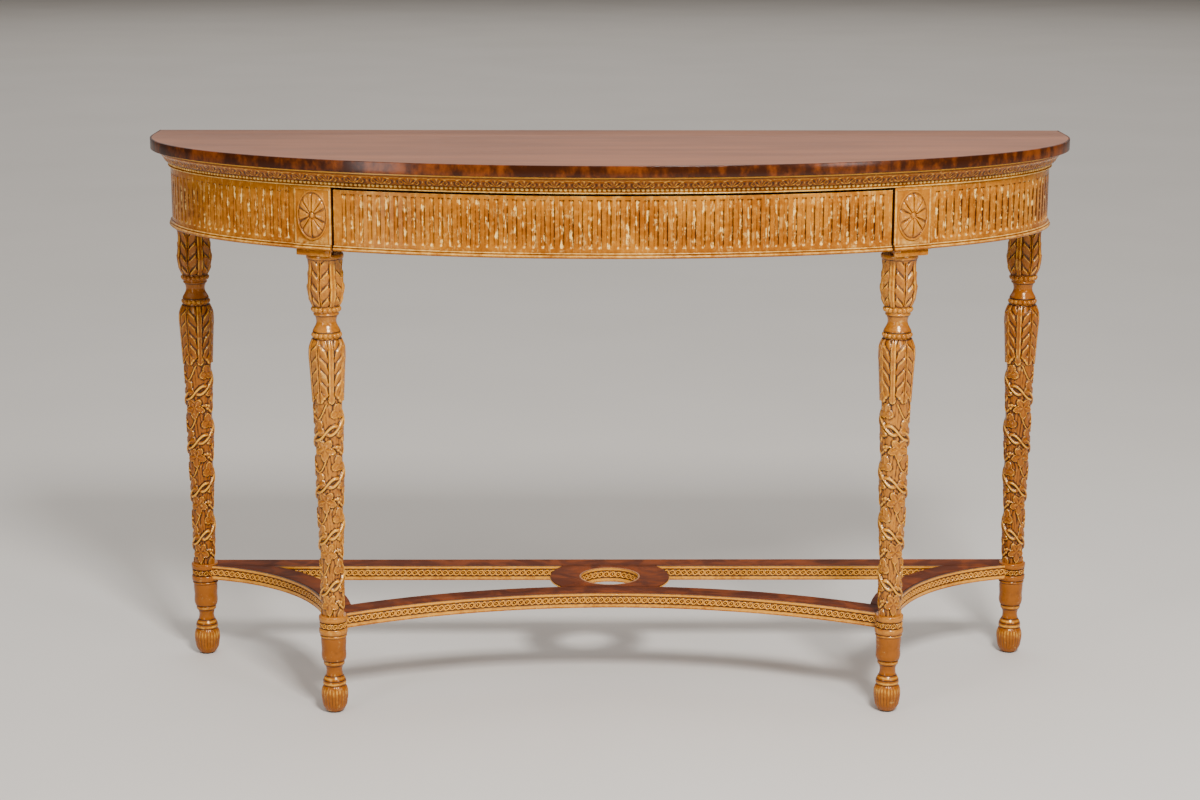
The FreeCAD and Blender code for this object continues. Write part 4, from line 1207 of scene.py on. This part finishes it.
def bark_level(angle, up):
    """Long upright facets with narrow gouges between them that wander and break off, from -1 to about 0.4."""
    wander = 0.14 * np.sin(up / 23.0 + 3 * angle) + 0.05 * np.sin(up / 8.3)
    side = fold(angle + wander, BARK_FACETS)
    gouge = bump(1 - np.abs(side), 0.22)
    broken = np.clip(0.55 + 0.9 * np.sin(up / 15.0 + 4 * np.sin(5 * angle)), 0, 1)
    facet = 0.4 * np.sin(up / 11.0 + 9 * np.sin(3 * angle)) * (1 - side**2)
    return facet - gouge * broken


# %% [markdown]
# ## Legs
# One outline serves all four legs. The vine climbs to the right on the left legs and is mirrored on the right ones.
# Beads are true spheres, because their dark undersides are what makes a string of beads read as beads. Collars and
# feet come in fours too, so one function sets out a whole set.

# %% A turning at each corner
CORNERS = ("front_left", "front_right", "rear_left", "rear_right")
BEADS_ROUND = 17
BEAD_SIZE = 4.3
BEAD_RELIEF = 0.78


def box_middle(node):
    low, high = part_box(node)
    return (low + high) / 2


def bead_ring(middle, up, radius):
    """A ring of small spheres round a turning."""
    bm = bmesh.new()
    for number in range(BEADS_ROUND):
        angle = number * TAU / BEADS_ROUND
        place = Vector((radius * math.sin(angle), -radius * math.cos(angle), up)) * MM
        seat = Matrix.Translation(place + Vector((middle.x, middle.y, 0)))
        bmesh.ops.create_uvsphere(bm, u_segments=12, v_segments=7, radius=BEAD_SIZE * MM, matrix=seat)
    note(bm, "relief", BEAD_RELIEF)
    return bm


def turned_set(kind, blank, height, wear_with_painted_light, front_finish, rear_finish, right_hand=1, bead_rings=()):
    """The same carved turning under each corner, with rings of beads where there are any."""
    for corner in CORNERS:
        node = kind + "_" + corner
        middle = box_middle(node)
        turning = blank.copy()
        carve_turning(turning, height, middle, wear_with_painted_light, right_hand if "right" in corner else 1)
        rings = [bead_ring(middle, up, radius) for up, radius in bead_rings]
        finish = front_finish if "front" in corner else rear_finish
        add_piece(node + "_carved", joined([turning] + rings), finish, [node])
    blank.free()


# %% Legs
LEG_STEPS = 168
LEG_SPACING = 1.35
LEAF_BAND = (519.0, 622.0)
VASE = (675.0, 750.0)
LEAF_START = math.radians(-26)
VASE_LEAF_START = math.radians(-15)
LEAF_PITCH = 19.5
VASE_LEAF_PITCH = 21.0
GROUND_DEPTH = 2.7
BARK_RELIEF = 1.1
VINE_RELIEF = 3.2
IVY_RELIEF = 3.0
TENDRIL_RELIEF = 1.8
NO_CARVING = -9.0
LEG_STRETCHES = (
    ((165, 20), (200, 20), (230, 20.2), (300, 21), (320, 22), (350, 22.8), (400, 23.7), (450, 24), (519, 24.9)),
    ((519.2, 25.8), (540, 26.9), (560, 27.9), (580, 29.1), (600, 30), (610, 29), (616, 27), (622, 24.2)),
    ((622.2, 20.5), (633.3, 20.5)),
    ((633.5, 22.4), (636, 21.6), (640, 19.4), (645, 16.9), (650, 16), (655, 16.8), (659.5, 18.3)),
    ((659.7, 19.6), (660.7, 20.2), (662.2, 20.2), (663.3, 19.6)),
    ((663.5, 19.8), (674.8, 19.8)),
    ((675, 23.4), (680, 25.7), (690, 28.8), (700, 30.3), (710, 29.9), (720, 29), (740, 27.8), (750, 27.9)),
    ((750.2, 28.6), (751.5, 29.4), (754, 29.6), (756.5, 29.4), (757.8, 28.6)),
)
LEG_JOINTS = (622.1, 633.4, 659.6, 674.9, 750.1)
BEAD_RINGS = ((628.0, 20.4), (669.3, 20.0))


def over_ground(level, lift):
    """Height of a carved thing that stands on the ground of the shaft, and far below it where there is none."""
    return np.where(level > 0, lift * level, NO_CARVING) - GROUND_DEPTH


def leg_height(angle, up):
    ground = -GROUND_DEPTH + BARK_RELIEF * bark_level(angle, up)
    vine = over_ground(vine_level(angle, up), VINE_RELIEF)
    ivy = over_ground(ivy_level(angle, up), IVY_RELIEF)
    tendril = over_ground(tendril_level(angle, up), TENDRIL_RELIEF)
    shaft = np.maximum.reduce([ground, vine, ivy, tendril])
    lower = leaf_carving(angle, up - LEAF_BAND[0], LEAF_START, -1.0, LEAF_PITCH, True)
    upper = leaf_carving(angle, up - VASE[0], VASE_LEAF_START, 1.0, VASE_LEAF_PITCH, False)
    upper = upper * np.clip((VASE[1] - up) / 5, 0, 1)
    carved = np.where(up < LEAF_BAND[0], shaft, np.where(up < LEAF_BAND[1], lower, 0.0))
    return np.where((up > VASE[0]) & (up < VASE[1]), upper, carved)


def leg_wear(up):
    """Glaze in the lines where two members of the leg meet, and a pale fillet over the neck and under the block."""
    pale = bump(up - 661.6, 1.2) + bump(up - 754.0, 2.4)
    return 0.22 * pale - 0.5 * lines_at(LEG_JOINTS, up, 0.9)


leg_blank = lathe(turned_outline(LEG_STRETCHES, LEG_SPACING, LEG_SPACING / 3), LEG_STEPS)
turned_set("leg", leg_blank, leg_height, leg_wear, gilt_leaves, gilt_rear_painted_shade, -1, BEAD_RINGS)

# %% [markdown]
# ## Interlaced bands
# Collars, rail edges and the ring's lining all carry the same ornament: a chain of small rings with a dot in each and
# round links between them. It is written once, as a height from the place along and the place up, and each piece asks
# it in its own measure.

# %% Interlaced bands
BRAID_PITCH = 10.4


def braid_level(along, up, half_height):
    """A chain of rings with a dot in each and a link between each two, from 0 to 1."""
    x = (along - 0.35 * up) % BRAID_PITCH - BRAID_PITCH / 2
    from_dot = np.hypot(x, up)
    from_link = np.hypot(np.abs(x) - BRAID_PITCH / 2, np.abs(up) - 0.55 * half_height)
    ring = half_round(from_dot - 0.66 * half_height, 0.24 * half_height)
    dot = 0.9 * half_round(from_dot, 0.24 * half_height)
    link = 0.9 * half_round(from_link, 0.26 * half_height)
    return np.maximum.reduce([ring, dot, link])


# %% Collars
COLLAR_STEPS = 160
COLLAR_SPACING = 0.7
COLLAR_BRAID_COUNT = 14
COLLAR_BAND = (143.8, 154.2)
COLLAR_RELIEF = 1.7
COLLAR_STRETCHES = (
    ((128, 20.6), (129, 21.6), (130.2, 21.9), (131.4, 21.6), (132.4, 20.6)),
    ((133, 21.4), (134.5, 22.8), (137, 23.2), (140, 23.2), (142.2, 22.8), (143.4, 21.6)),
    ((143.8, 22.2), (154.2, 22.2)),
    ((154.6, 21.6), (155.8, 22.8), (158, 23.2), (161, 23.2), (163.5, 22.7), (165, 21.2)),
)


def collar_height(angle, up):
    low, high = COLLAR_BAND
    half = (high - low) / 2
    along = angle / TAU * COLLAR_BRAID_COUNT * BRAID_PITCH
    braid = COLLAR_RELIEF * (braid_level(along, up - low - half, half) - 1)
    return np.where((up > low) & (up < high), braid, 0)


def collar_wear_and_painted_light(up):
    """Pale on the crests of the mouldings, rubbed ground and painted highlight, with dark lines where two of them
    meet, glaze and painted shade.
    """
    return 0.26 * lines_at((130.2, 139.0, 160.0), up, 2.0) - 0.55 * lines_at((128.2, 132.7, 143.6, 154.4), up, 0.9)


collar_blank = lathe(turned_outline(COLLAR_STRETCHES, COLLAR_SPACING, COLLAR_SPACING), COLLAR_STEPS)
turned_set("collar", collar_blank, collar_height, collar_wear_and_painted_light, gilt_leaves, gilt_rear_painted_shade)

# %% [markdown]
# ## Feet
# Below the collar a plain drum tapers to a ring, a cove and a bulb. The bulb is gadrooned: two dozen rounded ribs
# with a sharp groove between each two, which die out towards its ends.

# %% Feet
FOOT_STEPS = 168
FOOT_SPACING = 0.8
GADROONS = 24
GADROON_DEPTH = 1.9
BULB = (3.0, 46.0)
FOOT_STRETCHES = (
    ((3, 14.5), (10, 18.8), (20, 21), (30, 22.1), (38, 21.4), (44, 19), (46, 17.6)),
    ((46.3, 18.2), (48, 19), (51, 19), (57, 17.5), (62, 14.5)),
    ((62.2, 14.2), (67, 13.2), (72, 12.9), (76, 13.6), (79.6, 14.8)),
    ((80, 15.8), (81.5, 16.9), (84, 17.1), (86.5, 16.9), (88, 15.8)),
    ((88.3, 18.4), (90, 19.1), (108, 19.8), (126, 20.4), (128, 20.2)),
)


def foot_height(angle, up):
    low, high = BULB
    share = np.clip((up - low) / (high - low), 0, 1)
    rib = np.sqrt(np.clip(1 - 0.96 * fold(angle, GADROONS) ** 2, 0, 1))
    depth = GADROON_DEPTH * np.sqrt(np.sin(share * TAU / 2))
    return np.where((up > low) & (up < high), -depth * (1 - rib), 0)


def foot_wear_and_painted_light(up):
    """Glaze is left on the drum; the rings below it and the top of the bulb are pale, rubbed ground and painted
    highlight, and the dark lines where two members meet are glaze and painted shade.
    """
    rubbed = 0.28 * lines_at((50.0, 58.5, 84.0), up, 2.6) + 0.16 * bump(up - 38, 8.0)
    return rubbed - 0.12 * bump(up - 108, 17.0) - 0.60 * lines_at((46.1, 54.5, 62.1, 79.8, 88.1), up, 1.0)


foot_blank = lathe(turned_outline(FOOT_STRETCHES, FOOT_SPACING, FOOT_SPACING), FOOT_STEPS)
turned_set("foot", foot_blank, foot_height, foot_wear_and_painted_light, gilt_feet, gilt_feet)

# %% [markdown]
# ## Rail edges
# The veneered rails of the stretcher wear carved edges on the sides that show. Each edge is a strip between a rounded
# fillet above and a flat one below, bent along an arc. An arc is simpler than the apron's line: equal angles are
# equal lengths, and out of the rail is towards the arc's middle.

# %% Lines of the rails
class ArcLine:
    """An arc seen from its middle, measured in length from the direction of +Y."""

    def __init__(self, middle, radius):
        self.middle = middle
        self.radius = radius

    def along_to(self, place):
        """How far along the arc a place lies, seen from the middle."""
        return self.radius * math.atan2(place.x - self.middle.x, place.y - self.middle.y)

    def places(self, along):
        angle = along / self.radius
        x = self.middle.x + self.radius * np.sin(angle)
        y = self.middle.y + self.radius * np.cos(angle)
        return x, y, -np.sin(angle), -np.cos(angle)


class StraightLine:
    """A line along X at one depth, seen from the front."""

    def __init__(self, y):
        self.y = y

    def places(self, along):
        return along, np.full_like(along, self.y), np.zeros_like(along), -np.ones_like(along)


def circle_middle(first, second, third):
    """Middle of the circle through three points on the floor plan."""
    chord = second - first
    other = third - first
    cross = 2 * (chord.x * other.y - chord.y * other.x)
    x = (other.y * chord.length_squared - chord.y * other.length_squared) / cross
    y = (chord.x * other.length_squared - other.x * chord.length_squared) / cross
    return first + Vector((x, y))


# %% Rail edges
RAIL_EDGE_DEPTH = 4.0 * MM
RAIL_EDGE_COLUMNS = 0.95 * MM
RAIL_EDGE_ROWS = 0.75 * MM
RAIL_BRAID_MIDDLE = 13.1
RAIL_BRAID_HALF = 6.2
RAIL_FOOT_ROWS = (0, 0.5, 3.2, 6.2, 6.6, 7.1)
RAIL_HEAD_ROWS = (19.2, 19.7, 20.2, 21.0, 22.6, 24.2, 24.8, 25.0)
rail_low, rail_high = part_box("stretcher_front_moulding")
rail_edge_rows = stepped(rail_low.z, RAIL_FOOT_ROWS)
rail_edge_rows += even_places(rail_low.z + 7.5 * MM, rail_low.z + 18.7 * MM, RAIL_EDGE_ROWS)
rail_edge_rows += stepped(rail_low.z, RAIL_HEAD_ROWS)


def rail_edge_height(along, up):
    y = up - rail_low.z / MM
    fillet = 0.4 * half_round(y - 22.6, 2.6) - 0.4
    braid = -2.1 + 1.8 * braid_level(along, y - RAIL_BRAID_MIDDLE, RAIL_BRAID_HALF)
    level = np.where(y < 6.5, -0.4 - 0.05 * y, braid)
    level = np.where((y > 6.5) & (y < 7.0), -1.8, level)
    return np.where(y > 19.6, fillet, level)


def rail_edge_level(along, up):
    """Relief of the edge with its contrast raised, pale on both fillets and dark in a line under the upper one:
    rubbing and glaze, and also painted highlight and painted shade.
    """
    y = up - rail_low.z / MM
    wear_and_painted_light = 0.24 * bump(y - 23.0, 1.6) + 0.22 * bump(y - 3.2, 2.6) - 0.60 * bump(y - 19.5, 0.8)
    return np.clip(1.4 * relief_level(rail_edge_height, along, up) - 0.18 + wear_and_painted_light, 0.06, 1)


def rail_edge(line, low, high):
    columns = even_places(low, high, RAIL_EDGE_COLUMNS)
    return carved_strip(line, columns, rail_edge_rows, rail_edge_height, RAIL_EDGE_DEPTH, rail_edge_level)


front_leg = box_middle("leg_front_right").to_2d()
rear_leg = box_middle("leg_rear_right").to_2d()
front_top = Vector((0, rail_high.y - RAIL_EDGE_DEPTH))
front_middle = circle_middle(Vector((-front_leg.x, front_leg.y)), front_top, front_leg)
front_arc = ArcLine(front_middle, (front_top - front_middle).length)
front_reach = front_arc.along_to(front_leg)
front_edge = rail_edge(front_arc, -front_reach, front_reach)
add_piece("rail_edge_front", front_edge, gilt_band, ["stretcher_front_moulding"])

# %% Side and back rail edges
SIDE_ARC_MIDDLE = Vector((762.5, -100.5)) * MM
WINDOW_ENDS = (83.0 * MM, 581.5 * MM)
side_radius = SIDE_ARC_MIDDLE.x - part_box("stretcher_side_moulding_right")[0].x - RAIL_EDGE_DEPTH
for side, way in SIDES.items():
    arc = ArcLine(Vector((way * SIDE_ARC_MIDDLE.x, SIDE_ARC_MIDDLE.y)), side_radius)
    ends = sorted(arc.along_to(Vector((way * leg.x, leg.y))) for leg in (front_leg, rear_leg))
    add_piece("rail_edge_" + side, rail_edge(arc, *ends), gilt_band, ["stretcher_side_moulding_" + side])
window_line = StraightLine(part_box("stretcher_window_mouldings")[0].y)
windows = [rail_edge(window_line, *mirrored(way, *WINDOW_ENDS)) for way in SIDES.values()]
add_piece("rail_edge_back", joined(windows), gilt_band, ["stretcher_window_mouldings"])

# %% [markdown]
# ## Lining of the ring
# The hole in the ring is lined with the same band, turned to face inwards. Spin closes an outline that goes up the
# inner face and down the outer one, and the pattern pushes the points of the inner face outwards into the wood.

# %% Lining of the ring
LINING_STEPS = 300
LINING_BRAID_COUNT = 30
LINING_DEPTH = 3.0 * MM
lining_low, lining_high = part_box("ring_lining")
lining_middle = (lining_low + lining_high) / 2
lining_outer = (lining_high.x - lining_low.x) / 2
lining_inner = lining_outer - LINING_DEPTH
lining_outline = [(lining_inner, row) for row in rail_edge_rows]
lining_outline += [(lining_outer, lining_high.z), (lining_outer, lining_low.z), (lining_inner, lining_low.z)]
lining = lathe(lining_outline, LINING_STEPS)
lining_x, lining_y, lining_z = points(lining).T
lining_along = np.arctan2(lining_x, lining_y) / TAU * LINING_BRAID_COUNT * BRAID_PITCH
lining_radius = np.hypot(lining_x, lining_y)
lining_lift = rail_edge_height(lining_along, lining_z / MM) * MM * (lining_radius < lining_inner + MM)
note(lining, "relief", rail_edge_level(lining_along, lining_z / MM))
swell(lining, 1 - lining_lift / lining_radius, lining_middle)
add_piece("ring_lining_carved", lining, gilt_band, ["ring_lining"])

# %% [markdown]
# ## Plain pieces with eased edges
# Rails, plates and the joinery behind the apron have the right shape as solids, but their edges are sharper than any
# tool leaves them. A copy of the solid is merged, because it comes as loose triangles, its flat triangles are
# dissolved into whole faces, and the edges that meet at a real angle are bevelled. Points in the middle of a bevel
# count as ridges, so the gilded plates are pale there, rubbed ground and painted highlight, and the veneered rails
# turn dark there, a painted shadow line. The flats of the plinth plates are set a little paler than plain ones.

# %% Plain pieces with eased edges
FLAT_ANGLE = math.radians(1)
EDGE_ANGLE = math.radians(40)
BEVEL_RELIEF = 0.8
PLINTH_RELIEF = 0.66
PLINTH_EASE = 1.5
RAIL_EASE = 1.0
STRETCHER_RAILS = ("back_rail", "front_rail", "side_rail_left", "side_rail_right")


def eased_copy(name, node, material, width, body="table", flat_relief=0.5, reshape=None):
    bm = bmesh.new()
    bm.from_mesh(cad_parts[node].data)
    bmesh.ops.remove_doubles(bm, verts=bm.verts, dist=SAME_PLACE)
    bmesh.ops.dissolve_limit(bm, angle_limit=FLAT_ANGLE, verts=bm.verts, edges=bm.edges)
    if reshape:
        reshape(bm)
    sharp = [edge for edge in bm.edges if edge.is_manifold and edge.calc_face_angle() > EDGE_ANGLE]
    how = {"segments": 2, "profile": 0.5, "affect": "EDGES", "material": -1, "clamp_overlap": True}
    bevel = set(bmesh.ops.bevel(bm, geom=sharp, offset=width * MM, **how)["faces"])
    levels = [BEVEL_RELIEF if bevel.issuperset(vert.link_faces) else flat_relief for vert in bm.verts]
    note(bm, "relief", levels)
    add_piece(name, bm, material, [node], body)


for corner in CORNERS:
    node = "plinth_" + corner
    eased_copy(node + "_eased", node, gilt_apron, PLINTH_EASE, flat_relief=PLINTH_RELIEF)
for rail in STRETCHER_RAILS:
    node = "stretcher_" + rail
    eased_copy(node + "_veneered", node, rail_veneer, RAIL_EASE)

# %% [markdown]
# ## Ring
# Between the rails the ring shows only a thin plate of veneered board: its free sides are cut back below, and a slim
# gilded bead runs along the rim. A lathe makes the bead in one turn, and the stretch that would lie inside the back
# rail is taken out again.

# %% Ring
RING_EASE = 0.8
RING_PLATE = 2.6 * MM
RING_REBATE = 15.0 * MM
RING_BEAD = 1.2 * MM
RING_BEAD_SINK = 0.2 * MM
RING_BEAD_SIDES = 10
RING_BEAD_STEPS = 160
# The bead along the rim is painted pale: rubbed gilding and a painted highlight.
RING_BEAD_RELIEF = 0.9
RING_BEAD_END = 4 * MM
ring_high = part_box("stretcher_ring")[1]
ring_middle = lining_middle.to_2d()


def cut_back_sides(bm):
    """Moves the lower part of the ring's outer wall inwards, below two new loops under the plate."""
    for drop in (RING_PLATE, RING_PLATE + 2 * RING_BEAD):
        level = Vector((0, 0, ring_high.z - drop))
        whole = bm.verts[:] + bm.edges[:] + bm.faces[:]
        bmesh.ops.bisect_plane(bm, geom=whole, dist=MM / 1000, plane_co=level, plane_no=(0, 0, 1))
    for vert in bm.verts:
        outside = (vert.co.to_2d() - ring_middle).length > ring_high.x - 0.5 * MM
        if outside and vert.co.z < ring_high.z - RING_PLATE - RING_BEAD:
            vert.co.x -= math.copysign(RING_REBATE, vert.co.x)


eased_copy("ring_veneered", "stretcher_ring", rail_veneer, RING_EASE, reshape=cut_back_sides)

# %% Bead along the rim
bead_radius = ring_high.x - RING_BEAD_SINK
bead_up = ring_high.z - RING_PLATE - RING_BEAD_SINK
turns = [TAU * step / RING_BEAD_SIDES for step in range(RING_BEAD_SIDES + 1)]
outline = [(bead_radius + RING_BEAD * math.cos(turn), RING_BEAD * math.sin(turn)) for turn in turns]
ring_bead = lathe(outline, RING_BEAD_STEPS)
bmesh.ops.translate(ring_bead, vec=(ring_middle.x, ring_middle.y, bead_up), verts=ring_bead.verts)
hidden = [vert for vert in ring_bead.verts if vert.co.y > ring_high.y + RING_BEAD_END]
bmesh.ops.delete(ring_bead, geom=hidden, context="VERTS")
bmesh.ops.holes_fill(ring_bead, edges=[edge for edge in ring_bead.edges if edge.is_boundary])
note(ring_bead, "relief", RING_BEAD_RELIEF)
add_piece("ring_bead", ring_bead, gilt_band, [])

# %% [markdown]
# ## Joinery and hardware
# What lies behind the apron keeps its plain shape and gets eased edges and wood with the grain along it. Dowels,
# screws and floor glides are small turned things whose solids are right as they are. They stay, and only their finish
# is set.

# %% Joinery and hardware
JOINERY_EASE = 0.6
RUNNERS = ("drawer_runner_left", "drawer_runner_right", "drawer_kicker_left", "drawer_kicker_right", "drawer_stops")
JOINERY = (
    (wood_upright, "table", ("rear_block_left", "rear_block_right")),
    (wood_across, "table", ("back_rail", "upper_drawer_rail", "lower_drawer_rail")),
    (wood_deep, "table", RUNNERS),
    (wood_deep, "drawer", ("drawer_side_left", "drawer_side_right")),
    (wood_across, "drawer", ("drawer_back", "drawer_bottom")),
)
HARDWARE = {"leg_dowels": wood_upright, "foot_dowels": wood_upright, "top_screws": steel, "floor_glides": plastic}
for wood, body, nodes in JOINERY:
    for node in nodes:
        eased_copy(node + "_eased", node, wood, JOINERY_EASE, body)
for node, finish in HARDWARE.items():
    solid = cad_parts[node]
    solid.data.materials.clear()
    solid.data.materials.append(finish)
print("hardware:", sorted(HARDWARE))

# %% Update the scene
bpy.context.view_layer.update()
